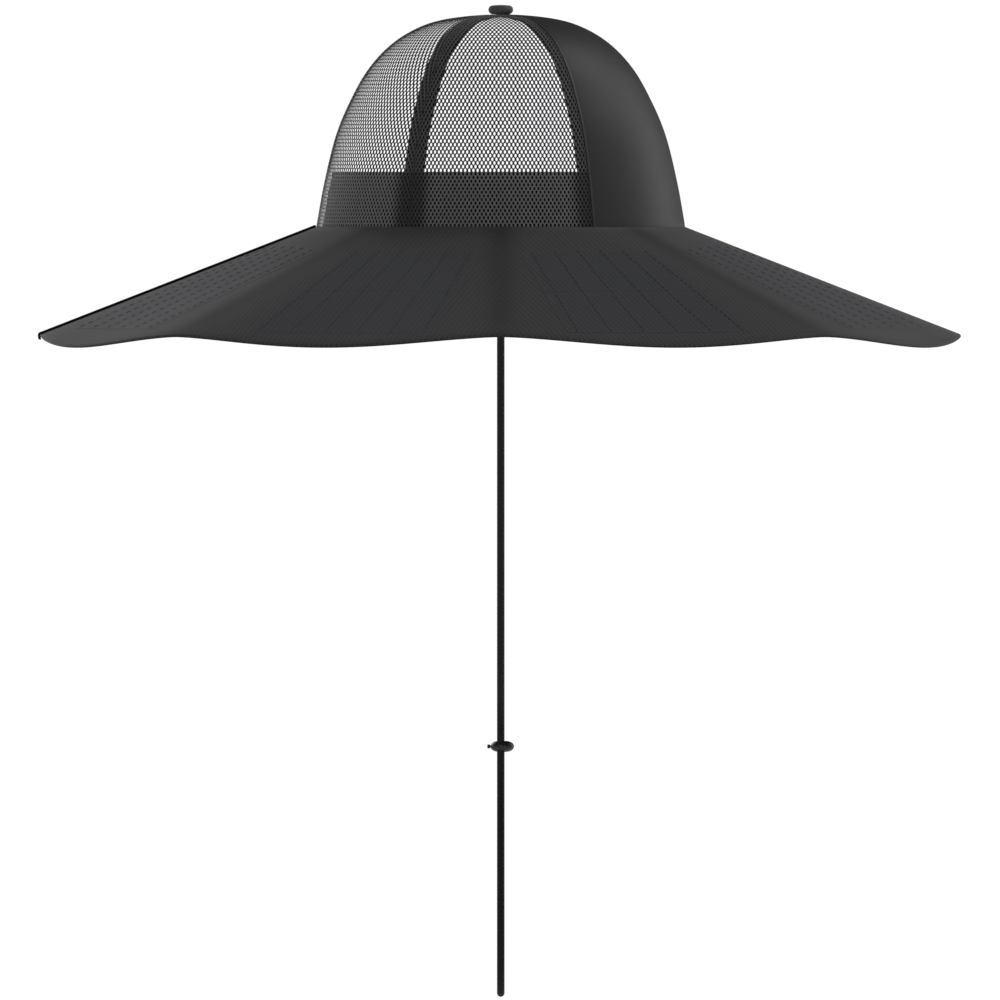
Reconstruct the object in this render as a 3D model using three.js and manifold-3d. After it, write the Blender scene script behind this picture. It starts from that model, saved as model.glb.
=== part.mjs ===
// Wide-brimmed sun hat with net sides and eight solar panels on its brim.
// Millimetres. +X is the front of the hat, +Y the wearer's left and +Z is up.
// The origin is the middle of the head opening, in the plane where crown and brim meet.

import * as THREE from 'three';
import { mergeVertices } from 'three/addons/utils/BufferGeometryUtils.js';
import Module from 'manifold-3d';

const wasm = await Module();
wasm.setup();

// Gap that sewn neighbours keep
const GAP = 0.3;

// Crown
const CROWN_WIDTH_RATIO = 0.93;
const CROWN_OUTLINE = [
  { height: 0, halfLength: 100 },
  { height: 24.4, halfLength: 95.6 },
  { height: 50.4, halfLength: 89.1 },
  { height: 67.7, halfLength: 81.9 },
  { height: 85.0, halfLength: 72.2 },
  { height: 98.0, halfLength: 60.5 },
  { height: 106.7, halfLength: 47.5 },
  { height: 112.1, halfLength: 32.6 },
  { height: 115.2, halfLength: 0 },
];
const CROWN_THICKNESS = 1.2;
const CROWN_ROWS = 9;
const CROWN_COLUMN_ANGLE = 12;
const TOP_HOLE_RADIUS = 3.2;
const FRONT_SEAM_ANGLE = 60;
const SIDE_SEAM_ANGLE = 120;
const BACK_SEAM_ANGLE = 180;

// Coarse holes that stand for the net of the side and back panels
const NET_HOLE_RADIUS = 7.4;
const NET_PITCH_ACROSS = 20;
const NET_PITCH_UP = 17.4;
const NET_FIRST_ROW = 13;
const NET_MARGIN = 3.2;
const NET_HOLE_SIDES = 6;

// Seam tapes inside the crown
const TAPE_WIDTH = 12.4;
const TAPE_THICKNESS = 1;
const TAPE_DEPTH = 1.8;
const TAPE_COLUMNS = 2;
const TAPE_END_ANGLE = 27;
const TAPE_END_RADIUS = 5.5;

// Sweatband inside the crown's lower edge
const BAND_INSET = 3.4;
const BAND_THICKNESS = 2;
const BAND_HEIGHT = 29.8;
const BAND_STEPS = 48;
const BAND_ROWS = 2;

// Button on top of the crown
const BUTTON_RADIUS = 6.75;
const BUTTON_HEIGHT = 4.8;
const BUTTON_NECK_RADIUS = 2.4;
const BUTTON_NECK_DEPTH = 1.2;
const BUTTON_SIDES = 16;

// Brim
const BRIM_WIDTH = 149.3;
const BRIM_RIDGE_DROP = 58.2;
const BRIM_SECTOR_DIP = 5.8;
const BRIM_RIDGE_SOFTNESS = 1.5;
const BRIM_SECTORS = 8;
const BRIM_THICKNESS = 1.8;
const BRIM_STEPS = 64;
const BRIM_ROWS = 2;

// Solar panels, one in the middle of each brim sector
const PANEL_INNER_DISTANCE = 122;
const PANEL_OUTER_DISTANCE = 228;
const PANEL_INNER_WIDTH = 79;
const PANEL_OUTER_WIDTH = 111;
const PANEL_THICKNESS = 0.9;
const PANEL_LIFT = 0.45;
const PANEL_COLUMNS = 8;
const PANEL_ROWS = 2;

// Binding along the back ridge of the brim
const BINDING_WIDTH = 8;
const BINDING_THICKNESS = 1.1;
const BINDING_HOOK_DEPTH = 3.6;

// Chin cord and its stopper
const CORD_RADIUS = 2;
const CORD_SIDES = 8;
const CORD_STEPS = 80;
const STOPPER_HEIGHT = -281.4;
const STOPPER_SHIFT = 0.8;
const STOPPER_HALF_LENGTH = 6.4;
const STOPPER_HALF_WIDTH = 6.3;
const STOPPER_HALF_HEIGHT = 3.05;
const STOPPER_FULLNESS = 0.85;
const STOPPER_SIDES = 20;
const STOPPER_STEPS = 8;
const STOPPER_BORE_OFFSET = 3.1;
const NUB_RADIUS = 1.1;
const NUB_LENGTH = 1.5;
const NUB_REACH = 8.1;
const NUB_NECK_RADIUS = 0.65;

// One half of the cord's route, from the sweatband at the side down to the lowest point
const HALF_CORD_ROUTE = [
  { side: 88.6, height: -2.1 },
  { side: 88.3, height: -10 },
  { side: 86.4, height: -22 },
  { side: 79.4, height: -45 },
  { side: 63.2, height: -92 },
  { side: 46.2, height: -145 },
  { side: 29.2, height: -198 },
  { side: 13.6, height: -243 },
  { side: 5.6, height: -258 },
  { side: 3.1, height: -267 },
  { side: 3.1, height: -276 },
  { side: 3.1, height: -288 },
  { side: 3.1, height: -295 },
  { side: 4.4, height: -306 },
  { side: 8.2, height: -330 },
  { side: 10.6, height: -365 },
  { side: 10.3, height: -398 },
  { side: 7.2, height: -410 },
  { side: 0, height: -415 },
];

// Finishes
const NET_FINISH = { color: 0x4a4a4c, roughness: 0.9 };
const FRONT_FINISH = { color: 0x3d3d3e, roughness: 0.75 };
const TAPE_FINISH = { color: 0x0f0f10, roughness: 0.9 };
const BRIM_FINISH = { color: 0x474748, roughness: 0.85 };
const PANEL_FINISH = { color: 0x2b2d33, roughness: 0.45 };
const CORD_FINISH = { color: 0x1a1a1b, roughness: 0.85 };
const STOPPER_FINISH = { color: 0x3c3d3f, roughness: 0.25 };

const degrees = THREE.MathUtils.degToRad;

// Side outline of the whole crown, from the front edge over the top to the back edge
const outlineHalf = CROWN_OUTLINE.map((row) => new THREE.Vector3(row.halfLength, 0, row.height));
const outlineBack = outlineHalf.slice(0, -1).reverse().map((p) => new THREE.Vector3(-p.x, 0, p.z));
const crownOutline = new THREE.CatmullRomCurve3([...outlineHalf, ...outlineBack]);
const crownSlope = crownOutline.getLength() / 2;

// A point of the crown: angle from the front, share of the way up, and depth inside the surface.
// No point lies lower than a gap over the brim.
function crownPoint(angle, share, depth) {
  const point = crownOutline.getPointAt(share / 2);
  const tangent = crownOutline.getTangentAt(share / 2);
  const radius = point.x - depth * tangent.z;
  const height = Math.max(point.z + depth * tangent.x, GAP);
  const width = radius * CROWN_WIDTH_RATIO;
  return new THREE.Vector3(radius * Math.cos(angle), width * Math.sin(angle), height);
}

// Shares of the crown's slope at which its rows lie, from just over the brim to the top hole
const firstShare = GAP / crownSlope;
const lastShare = 1 - TOP_HOLE_RADIUS / crownSlope;
const rowShare = (row) => firstShare + (lastShare - firstShare) * (row / CROWN_ROWS);

// Turn a closed mesh's faces outwards, whichever way they were wound
function facingOut(geometry) {
  const position = geometry.getAttribute('position');
  const index = geometry.getIndex();
  const corners = [0, 1, 2].map(() => new THREE.Vector3());
  let volume = 0;
  for (let i = 0; i < index.count; i += 3) {
    corners.forEach((corner, k) => corner.fromBufferAttribute(position, index.getX(i + k)));
    volume += corners[0].dot(corners[1].clone().cross(corners[2]));
  }
  if (volume < 0) {
    for (let i = 0; i < index.count; i += 3) {
      const second = index.getX(i + 1);
      index.setX(i + 1, index.getX(i + 2));
      index.setX(i + 2, second);
    }
  }
  return geometry;
}

function geometryFrom(points, triangles) {
  const geometry = new THREE.BufferGeometry().setFromPoints(points);
  geometry.setIndex(triangles);
  return facingOut(geometry);
}

// A closed sheet: pointAt(column, row, side) gives its outer face at side 0, its inner at side 1
function closedSheet(columns, rows, pointAt) {
  const points = [];
  const triangles = [];
  const perSide = (columns + 1) * (rows + 1);
  const at = (column, row, side) => side * perSide + row * (columns + 1) + column;
  const quad = (a, b, c, d) => triangles.push(a, b, c, a, c, d);
  for (const side of [0, 1]) {
    for (let row = 0; row <= rows; row += 1) {
      for (let column = 0; column <= columns; column += 1) points.push(pointAt(column, row, side));
    }
  }
  for (let row = 0; row < rows; row += 1) {
    for (let column = 0; column < columns; column += 1) {
      const [c, r] = [column + 1, row + 1];
      quad(at(column, row, 0), at(c, row, 0), at(c, r, 0), at(column, r, 0));
      quad(at(column, row, 1), at(column, r, 1), at(c, r, 1), at(c, row, 1));
    }
  }
  for (let column = 0; column < columns; column += 1) {
    const next = column + 1;
    quad(at(column, 0, 0), at(column, 0, 1), at(next, 0, 1), at(next, 0, 0));
    quad(at(column, rows, 0), at(next, rows, 0), at(next, rows, 1), at(column, rows, 1));
  }
  for (let row = 0; row < rows; row += 1) {
    const next = row + 1;
    quad(at(0, row, 0), at(0, next, 0), at(0, next, 1), at(0, row, 1));
    quad(at(columns, row, 0), at(columns, row, 1), at(columns, next, 1), at(columns, next, 0));
  }
  return geometryFrom(points, triangles);
}

// A closed ring: sectionAt(angle) gives the corners of its cross-section
function closedRing(steps, sectionAt) {
  const sections = [];
  for (let step = 0; step < steps; step += 1) sections.push(sectionAt((2 * Math.PI * step) / steps));
  const corners = sections[0].length;
  const triangles = [];
  const at = (step, corner) => (step % steps) * corners + (corner % corners);
  for (let step = 0; step < steps; step += 1) {
    for (let corner = 0; corner < corners; corner += 1) {
      const [a, b] = [at(step, corner), at(step + 1, corner)];
      const [c, d] = [at(step + 1, corner + 1), at(step, corner + 1)];
      triangles.push(a, b, c, a, c, d);
    }
  }
  return geometryFrom(sections.flat(), triangles);
}

// Conversions for the pieces that are joined or cut
function toSolid(geometry) {
  const bare = geometry.clone();
  bare.deleteAttribute('normal');
  bare.deleteAttribute('uv');
  const merged = mergeVertices(bare, 1e-4);
  const vertProperties = new Float32Array(merged.getAttribute('position').array);
  const triVerts = new Uint32Array(merged.getIndex().array);
  return new wasm.Manifold(new wasm.Mesh({ numProp: 3, vertProperties, triVerts }));
}

function fromSolid(solid) {
  const mesh = solid.getMesh();
  const geometry = new THREE.BufferGeometry();
  geometry.setAttribute('position', new THREE.BufferAttribute(new Float32Array(mesh.vertProperties), 3));
  geometry.setIndex(new THREE.BufferAttribute(new Uint32Array(mesh.triVerts), 1));
  return geometry;
}

function namedMesh(name, geometry, finish) {
  geometry.computeVertexNormals();
  const material = new THREE.MeshStandardMaterial({ metalness: 0, ...finish });
  const mesh = new THREE.Mesh(geometry, material);
  mesh.name = name;
  return mesh;
}

// Crown panels: a sheet between two seams, each edge half a gap short of its seam
function crownPanel(startAngle, endAngle) {
  const columns = Math.round((endAngle - startAngle) / CROWN_COLUMN_ANGLE);
  return closedSheet(columns, CROWN_ROWS, (column, row, side) => {
    const share = rowShare(row);
    const trim = GAP / 2 / crownOutline.getPointAt(share / 2).x / CROWN_WIDTH_RATIO;
    const start = degrees(startAngle) + trim;
    const end = degrees(endAngle) - trim;
    const angle = start + (end - start) * (column / columns);
    return crownPoint(angle, share, side * CROWN_THICKNESS);
  });
}

// A hexagonal cutter that stands square to the crown's surface
function netCutter(angle, share) {
  const outer = crownPoint(angle, share, -CROWN_THICKNESS * 2);
  const inner = crownPoint(angle, share, CROWN_THICKNESS * 3);
  const normal = outer.clone().sub(inner);
  const length = normal.length();
  normal.normalize();
  const across = new THREE.Vector3(-Math.sin(angle), Math.cos(angle), 0);
  const up = new THREE.Vector3().crossVectors(across, normal).normalize();
  across.crossVectors(normal, up);
  const place = new THREE.Matrix4().makeBasis(across, normal, up);
  place.setPosition(outer.add(inner).multiplyScalar(0.5));
  const cutter = new THREE.CylinderGeometry(NET_HOLE_RADIUS, NET_HOLE_RADIUS, length, NET_HOLE_SIDES);
  return toSolid(cutter.applyMatrix4(place));
}

// A net panel: a crown panel cut through by staggered rows of holes
function netPanel(startAngle, endAngle) {
  let solid = toSolid(crownPanel(startAngle, endAngle));
  const middle = degrees((startAngle + endAngle) / 2);
  const halfSpan = degrees((endAngle - startAngle) / 2);
  for (let row = 0; NET_FIRST_ROW + row * NET_PITCH_UP < crownSlope; row += 1) {
    const share = (NET_FIRST_ROW + row * NET_PITCH_UP) / crownSlope;
    const radius = crownOutline.getPointAt(share / 2).x;
    const reach = radius * halfSpan * CROWN_WIDTH_RATIO - NET_HOLE_RADIUS - NET_MARGIN;
    const shift = row % 2 === 0 ? 0 : NET_PITCH_ACROSS / 2;
    for (let place = shift; place <= reach; place += NET_PITCH_ACROSS) {
      for (const side of place === 0 ? [1] : [-1, 1]) {
        solid = solid.subtract(netCutter(middle + (side * place) / radius, share));
      }
    }
  }
  return fromSolid(solid);
}

// A seam tape: a narrow strip inside the crown that follows one seam
function seamTape(seamAngle) {
  const tapeLastShare = 1 - TAPE_END_RADIUS / crownSlope;
  return closedSheet(TAPE_COLUMNS, CROWN_ROWS, (column, row, side) => {
    const share = Math.min(rowShare(row), tapeLastShare);
    const radius = crownOutline.getPointAt(share / 2).x;
    const spread = Math.min(TAPE_WIDTH / 2 / radius, degrees(TAPE_END_ANGLE));
    const angle = degrees(seamAngle) + spread * ((2 * column) / TAPE_COLUMNS - 1);
    return crownPoint(angle, share, TAPE_DEPTH + side * TAPE_THICKNESS);
  });
}

// Half-length of the crown at a height, for the pieces that lie inside it
function crownHalfLength(height) {
  let low = 0;
  let high = 1;
  for (let i = 0; i < 30; i += 1) {
    const middle = (low + high) / 2;
    if (crownOutline.getPointAt(middle / 2).z < height) low = middle;
    else high = middle;
  }
  return crownOutline.getPointAt(low / 2).x;
}

const baseHalfLength = CROWN_OUTLINE[0].halfLength;
const baseHalfWidth = baseHalfLength * CROWN_WIDTH_RATIO;

// A point at an angle round the head, some way inside or outside the crown's base
function roundHead(angle, outwards, height) {
  const x = (baseHalfLength + outwards) * Math.cos(angle);
  const y = (baseHalfWidth + outwards) * Math.sin(angle);
  return new THREE.Vector3(x, y, height);
}

function sweatband() {
  return closedRing(BAND_STEPS, (angle) => {
    const outer = [];
    const inner = [];
    for (let row = 0; row <= BAND_ROWS; row += 1) {
      const height = -BRIM_THICKNESS + ((BAND_HEIGHT + BRIM_THICKNESS) * row) / BAND_ROWS;
      const lean = crownHalfLength(Math.max(height, 0)) - baseHalfLength;
      outer.push(roundHead(angle, lean - BAND_INSET, height));
      inner.unshift(roundHead(angle, lean - BAND_INSET - BAND_THICKNESS, height));
    }
    return [...outer, ...inner];
  });
}

// Height of the brim's upper face, by angle and by share of the way out
function brimHeight(angle, share) {
  const sector = (2 * Math.PI) / BRIM_SECTORS;
  const turn = ((angle % sector) + sector) % sector;
  const fromRidge = Math.min(turn, sector - turn) / (sector / 2);
  const dip = Math.sin((Math.PI / 2) * fromRidge) ** BRIM_RIDGE_SOFTNESS;
  return -share * (BRIM_RIDGE_DROP + BRIM_SECTOR_DIP * dip);
}

function brim() {
  return closedRing(BRIM_STEPS, (angle) => {
    const upper = [roundHead(angle, GAP - BAND_INSET, 0)];
    for (let row = 0; row <= BRIM_ROWS; row += 1) {
      const share = row / BRIM_ROWS;
      upper.push(roundHead(angle, BRIM_WIDTH * share, brimHeight(angle, share)));
    }
    const lower = upper.map((p) => new THREE.Vector3(p.x, p.y, p.z - BRIM_THICKNESS));
    return [...upper, ...lower.reverse()];
  });
}

// Height of the brim's upper face over a point of the plan
function brimHeightOver(x, y) {
  let low = 0;
  let high = 1;
  const overshoot = (share) => {
    const length = baseHalfLength + BRIM_WIDTH * share;
    const width = baseHalfWidth + BRIM_WIDTH * share;
    return Math.hypot(x / length, y / width) - 1;
  };
  for (let i = 0; i < 30; i += 1) {
    const middle = (low + high) / 2;
    if (overshoot(middle) > 0) low = middle;
    else high = middle;
  }
  const length = baseHalfLength + BRIM_WIDTH * low;
  const width = baseHalfWidth + BRIM_WIDTH * low;
  return brimHeight(Math.atan2(y / width, x / length), low);
}

// A solar panel: a thin trapezoid that lies on the brim, square to the middle of its sector
function solarPanel(middleAngle) {
  return closedSheet(PANEL_COLUMNS, PANEL_ROWS, (column, row, side) => {
    const share = row / PANEL_ROWS;
    const distance = THREE.MathUtils.lerp(PANEL_INNER_DISTANCE, PANEL_OUTER_DISTANCE, share);
    const width = THREE.MathUtils.lerp(PANEL_INNER_WIDTH, PANEL_OUTER_WIDTH, share);
    const across = width * (column / PANEL_COLUMNS - 0.5);
    const x = distance * Math.cos(middleAngle) - across * Math.sin(middleAngle);
    const y = distance * Math.sin(middleAngle) + across * Math.cos(middleAngle);
    const lift = PANEL_LIFT + (1 - side) * PANEL_THICKNESS;
    return new THREE.Vector3(x, y, brimHeightOver(x, y) + lift);
  });
}

// The binding: a strip down the back ridge that turns over the rim
function brimBinding() {
  const start = baseHalfLength + GAP * 2;
  const end = baseHalfLength + BRIM_WIDTH + GAP;
  const ridge = (distance) => (-BRIM_RIDGE_DROP * (distance - baseHalfLength)) / BRIM_WIDTH;
  const outline = new THREE.Shape([
    new THREE.Vector2(start, ridge(start) + GAP),
    new THREE.Vector2(end, ridge(end) + GAP),
    new THREE.Vector2(end, ridge(end) - BINDING_HOOK_DEPTH),
    new THREE.Vector2(end + BINDING_THICKNESS, ridge(end) - BINDING_HOOK_DEPTH),
    new THREE.Vector2(end + BINDING_THICKNESS, ridge(end) + GAP),
    new THREE.Vector2(end, ridge(end) + GAP + BINDING_THICKNESS),
    new THREE.Vector2(start, ridge(start) + GAP + BINDING_THICKNESS),
  ]);
  const geometry = new THREE.ExtrudeGeometry(outline, { depth: BINDING_WIDTH, bevelEnabled: false });
  geometry.rotateX(Math.PI / 2);
  geometry.rotateZ(Math.PI);
  return geometry.translate(0, -BINDING_WIDTH / 2, 0);
}

function topButton() {
  const seat = CROWN_OUTLINE.at(-1).height + GAP;
  const profile = [
    [0, seat - BUTTON_NECK_DEPTH],
    [BUTTON_NECK_RADIUS, seat - BUTTON_NECK_DEPTH],
    [BUTTON_NECK_RADIUS, seat],
    [BUTTON_RADIUS * 0.86, seat],
    [BUTTON_RADIUS, seat + BUTTON_HEIGHT * 0.3],
    [BUTTON_RADIUS, seat + BUTTON_HEIGHT * 0.55],
    [BUTTON_RADIUS * 0.85, seat + BUTTON_HEIGHT * 0.83],
    [BUTTON_RADIUS * 0.5, seat + BUTTON_HEIGHT * 0.97],
    [0, seat + BUTTON_HEIGHT],
  ];
  const points = profile.map(([radius, height]) => new THREE.Vector2(radius, height));
  return new THREE.LatheGeometry(points, BUTTON_SIDES).rotateX(Math.PI / 2);
}

// The cord's whole route: down the wearer's right, round the loop and up the left
const rightRoute = HALF_CORD_ROUTE.map((row) => new THREE.Vector3(0, -row.side, row.height));
const leftRoute = HALF_CORD_ROUTE.slice(0, -1).reverse()
  .map((row) => new THREE.Vector3(0, row.side, row.height));
const cordRoute = new THREE.CatmullRomCurve3([...rightRoute, ...leftRoute]);

function chinCord() {
  const section = new THREE.Shape();
  for (let side = 0; side < CORD_SIDES; side += 1) {
    const angle = (2 * Math.PI * (side + 0.5)) / CORD_SIDES;
    const corner = [CORD_RADIUS * Math.cos(angle), CORD_RADIUS * Math.sin(angle)];
    if (side === 0) section.moveTo(...corner);
    else section.lineTo(...corner);
  }
  section.closePath();
  return new THREE.ExtrudeGeometry(section, { steps: CORD_STEPS, extrudePath: cordRoute });
}

// A round solid of the stopper, from a lathed profile stretched to its two half-axes
function stopperRound(profile, halfLength, halfWidth) {
  const points = profile.map(([radius, height]) => new THREE.Vector2(radius, height));
  const round = new THREE.LatheGeometry(points, STOPPER_SIDES).rotateX(Math.PI / 2);
  return toSolid(round.scale(halfLength, halfWidth, 1));
}

// The stopper: a lens-shaped body with a nub behind and two bores for the cord
function cordStopper() {
  const bodyProfile = [];
  for (let step = 0; step <= STOPPER_STEPS; step += 1) {
    const turn = Math.PI * (step / STOPPER_STEPS - 0.5);
    const atPole = step === 0 || step === STOPPER_STEPS;
    const reach = atPole ? 0 : Math.cos(turn) ** STOPPER_FULLNESS;
    bodyProfile.push([reach, STOPPER_HALF_HEIGHT * Math.sin(turn)]);
  }
  const neck = new THREE.CylinderGeometry(NUB_NECK_RADIUS, NUB_NECK_RADIUS, NUB_REACH, 8);
  neck.rotateZ(Math.PI / 2).translate(-NUB_REACH / 2, 0, 0);
  const nub = new THREE.CylinderGeometry(NUB_RADIUS, NUB_RADIUS, NUB_LENGTH, 8);
  nub.rotateZ(Math.PI / 2).translate(NUB_LENGTH / 2 - NUB_REACH, 0, 0);
  let solid = stopperRound(bodyProfile, STOPPER_HALF_LENGTH, STOPPER_HALF_WIDTH);
  solid = solid.add(toSolid(neck)).add(toSolid(nub));
  for (const side of [-1, 1]) {
    const boreRadius = CORD_RADIUS + GAP;
    const bore = new THREE.CylinderGeometry(boreRadius, boreRadius, 4 * STOPPER_HALF_HEIGHT, 12);
    bore.rotateX(Math.PI / 2).translate(-STOPPER_SHIFT, side * STOPPER_BORE_OFFSET, 0);
    solid = solid.subtract(toSolid(bore));
  }
  return fromSolid(solid).translate(STOPPER_SHIFT, 0, STOPPER_HEIGHT);
}

// The hat
const hat = new THREE.Group();

const crown = new THREE.Group();
crown.add(namedMesh('crown_front', crownPanel(-FRONT_SEAM_ANGLE, FRONT_SEAM_ANGLE), FRONT_FINISH));
const netSpans = [
  { name: 'crown_side_left', start: FRONT_SEAM_ANGLE, end: SIDE_SEAM_ANGLE },
  { name: 'crown_back_left', start: SIDE_SEAM_ANGLE, end: BACK_SEAM_ANGLE },
  { name: 'crown_back_right', start: -BACK_SEAM_ANGLE, end: -SIDE_SEAM_ANGLE },
  { name: 'crown_side_right', start: -SIDE_SEAM_ANGLE, end: -FRONT_SEAM_ANGLE },
];
for (const span of netSpans) {
  crown.add(namedMesh(span.name, netPanel(span.start, span.end), NET_FINISH));
}
const tapes = [
  { name: 'seam_tape_front_left', angle: FRONT_SEAM_ANGLE },
  { name: 'seam_tape_side_left', angle: SIDE_SEAM_ANGLE },
  { name: 'seam_tape_back', angle: BACK_SEAM_ANGLE },
  { name: 'seam_tape_side_right', angle: -SIDE_SEAM_ANGLE },
  { name: 'seam_tape_front_right', angle: -FRONT_SEAM_ANGLE },
];
for (const tape of tapes) crown.add(namedMesh(tape.name, seamTape(tape.angle), TAPE_FINISH));
crown.add(namedMesh('sweatband', sweatband(), TAPE_FINISH));
crown.add(namedMesh('top_button', topButton(), FRONT_FINISH));
hat.add(crown);

const brimGroup = new THREE.Group();
brimGroup.add(namedMesh('brim', brim(), BRIM_FINISH));
for (let sector = 0; sector < BRIM_SECTORS; sector += 1) {
  const middle = (2 * Math.PI * (sector + 0.5)) / BRIM_SECTORS;
  brimGroup.add(namedMesh(`solar_panel_${sector + 1}`, solarPanel(middle), PANEL_FINISH));
}
brimGroup.add(namedMesh('brim_back_binding', brimBinding(), TAPE_FINISH));
hat.add(brimGroup);

const chinStrap = new THREE.Group();
chinStrap.add(namedMesh('chin_cord', chinCord(), CORD_FINISH));
chinStrap.add(namedMesh('cord_stopper', cordStopper(), STOPPER_FINISH));
hat.add(chinStrap);

export default hat;
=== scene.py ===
"""Blender looks for a wide-brimmed sun hat with net sides and solar panels on its brim.

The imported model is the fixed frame, in metres: +X is the front of the hat, +Y the wearer's
left, +Z up, and the origin is the middle of the head opening. Each sub-assembly is a class
that holds its sizes and builds its own meshes, and main() builds them in order.
"""

from __future__ import annotations

import logging
import math
from dataclasses import dataclass
from enum import Enum
from typing import Any, Mapping, Sequence

import bpy
import numpy as np
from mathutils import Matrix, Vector

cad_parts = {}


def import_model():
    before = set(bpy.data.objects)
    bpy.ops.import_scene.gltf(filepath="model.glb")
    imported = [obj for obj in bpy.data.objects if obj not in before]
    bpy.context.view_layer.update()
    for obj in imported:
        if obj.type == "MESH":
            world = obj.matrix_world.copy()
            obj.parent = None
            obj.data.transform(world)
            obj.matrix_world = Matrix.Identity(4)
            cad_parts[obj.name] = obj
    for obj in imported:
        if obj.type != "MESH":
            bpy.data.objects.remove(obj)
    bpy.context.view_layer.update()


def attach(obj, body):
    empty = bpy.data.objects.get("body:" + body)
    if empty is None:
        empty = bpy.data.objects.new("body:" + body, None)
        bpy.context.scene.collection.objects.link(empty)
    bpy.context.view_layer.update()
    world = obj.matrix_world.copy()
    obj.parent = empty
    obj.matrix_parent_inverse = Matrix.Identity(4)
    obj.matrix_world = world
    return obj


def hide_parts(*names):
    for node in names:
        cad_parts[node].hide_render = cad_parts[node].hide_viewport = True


LOG = logging.getLogger("sun_hat")
BODY = "root"
MM = 0.001
GAP = 0.3 * MM
SPAN_STEPS = 40
SOFT_SPECULAR = 0.3
WHITE = (1.0, 1.0, 1.0, 1.0)
LINED = "lined"
INSIDE = "inside"
PAINTED_RIDGE_SHADE = "painted_ridge_shade"
PAINTED_LIGHT = "painted_light"

Color = tuple[float, float, float]
Inputs = Mapping[Any, Any]


# Node trees


class NodeWriter:
    """Adds nodes to one tree and joins them."""

    def __init__(self, tree: bpy.types.NodeTree) -> None:
        """Keeps the tree.

        Args:
            tree: The node tree to write in.
        """
        self.tree = tree

    def add(self, kind: str, inputs: Inputs | None = None, **settings: Any) -> bpy.types.Node:
        """Adds one node.

        Args:
            kind: The node's type name.
            inputs: Input name or index to a value, or to the socket that feeds it.
            settings: The node's own properties.

        Returns:
            The new node.
        """
        node = self.tree.nodes.new(kind)
        for name, value in settings.items():
            setattr(node, name, value)
        for name, value in (inputs or {}).items():
            if isinstance(value, bpy.types.NodeSocket):
                self.tree.links.new(value, node.inputs[name])
            else:
                node.inputs[name].default_value = value
        return node

    def math(self, operation: str, *values: Any) -> bpy.types.NodeSocket:
        """Adds a math node and returns its result.

        Args:
            operation: The math node's operation.
            values: Up to three numbers or sockets.

        Returns:
            The node's output socket.
        """
        kind = "ShaderNodeMath"
        return self.add(kind, dict(enumerate(values)), operation=operation).outputs[0]

    def vector(self, operation: str, *values: Any) -> bpy.types.NodeSocket:
        """Adds a vector math node and returns its vector.

        Args:
            operation: The vector math node's operation.
            values: Up to three vectors or sockets.

        Returns:
            The node's vector output.
        """
        kind = "ShaderNodeVectorMath"
        return self.add(kind, dict(enumerate(values)), operation=operation).outputs["Vector"]

    def about_one(self, value: Any, spread: float) -> bpy.types.NodeSocket:
        """A shade that varies evenly about 1 with a value from 0 to 1."""
        return self.math("MULTIPLY_ADD", value, spread, 1 - spread / 2)

    def scaled(self, vector: Any, scale: Any) -> bpy.types.NodeSocket:
        """Multiplies a vector by a number.

        Args:
            vector: A vector or its socket.
            scale: A number or its socket.

        Returns:
            The scaled vector's socket.
        """
        inputs = {0: vector, "Scale": scale}
        return self.add("ShaderNodeVectorMath", inputs, operation="SCALE").outputs["Vector"]


class TreeSockets:
    """Named inputs and the geometry output of a Geometry Nodes tree."""

    def __init__(self, name: str, numbers: Sequence[str]) -> None:
        """Makes the tree with its group input and output.

        Args:
            name: The tree's name.
            numbers: Names of its float inputs.
        """
        self.tree = bpy.data.node_groups.new(name, "GeometryNodeTree")
        self.tree.is_modifier = True
        face = self.tree.interface
        face.new_socket("Geometry", in_out="INPUT", socket_type="NodeSocketGeometry")
        for label in numbers:
            face.new_socket(label, in_out="INPUT", socket_type="NodeSocketFloat")
        face.new_socket("Material", in_out="INPUT", socket_type="NodeSocketMaterial")
        face.new_socket("Geometry", in_out="OUTPUT", socket_type="NodeSocketGeometry")
        self.write = NodeWriter(self.tree)
        self.inputs = self.write.add("NodeGroupInput").outputs

    def close(self, geometry: bpy.types.NodeSocket) -> bpy.types.NodeTree:
        """Ends the tree with realized instances and the material.

        Args:
            geometry: The socket that holds the tree's result.

        Returns:
            The finished tree.
        """
        smooth = self.write.add("GeometryNodeSetShadeSmooth", {"Geometry": geometry})
        real = self.write.add("GeometryNodeRealizeInstances", {"Geometry": smooth.outputs[0]})
        dressed = {"Geometry": real.outputs[0], "Material": self.inputs["Material"]}
        material = self.write.add("GeometryNodeSetMaterial", dressed)
        self.write.add("NodeGroupOutput", {"Geometry": material.outputs[0]})
        return self.tree


def bake_tree(piece: bpy.types.Object, tree: bpy.types.NodeTree, values: Mapping[str, Any]) -> None:
    """Runs a Geometry Nodes tree on a piece and keeps its result as the piece's plain mesh.

    Args:
        piece: The object that the tree works on.
        tree: The tree.
        values: Input name to value.
    """
    modifier = piece.modifiers.new("tree", "NODES")
    modifier.node_group = tree
    for item in tree.interface.items_tree:
        if item.in_out == "INPUT" and item.name in values:
            modifier[item.identifier] = values[item.name]
    bake_modifiers(piece)


def bake_modifiers(piece: bpy.types.Object) -> None:
    """Replaces a piece's mesh with what its modifiers make of it, and removes them.

    Args:
        piece: The object.
    """
    graph = bpy.context.evaluated_depsgraph_get()
    mesh = bpy.data.meshes.new_from_object(piece.evaluated_get(graph), depsgraph=graph)
    old = piece.data
    piece.modifiers.clear()
    piece.data = mesh
    bpy.data.meshes.remove(old)
    mesh.name = piece.name


# Finishes


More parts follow.
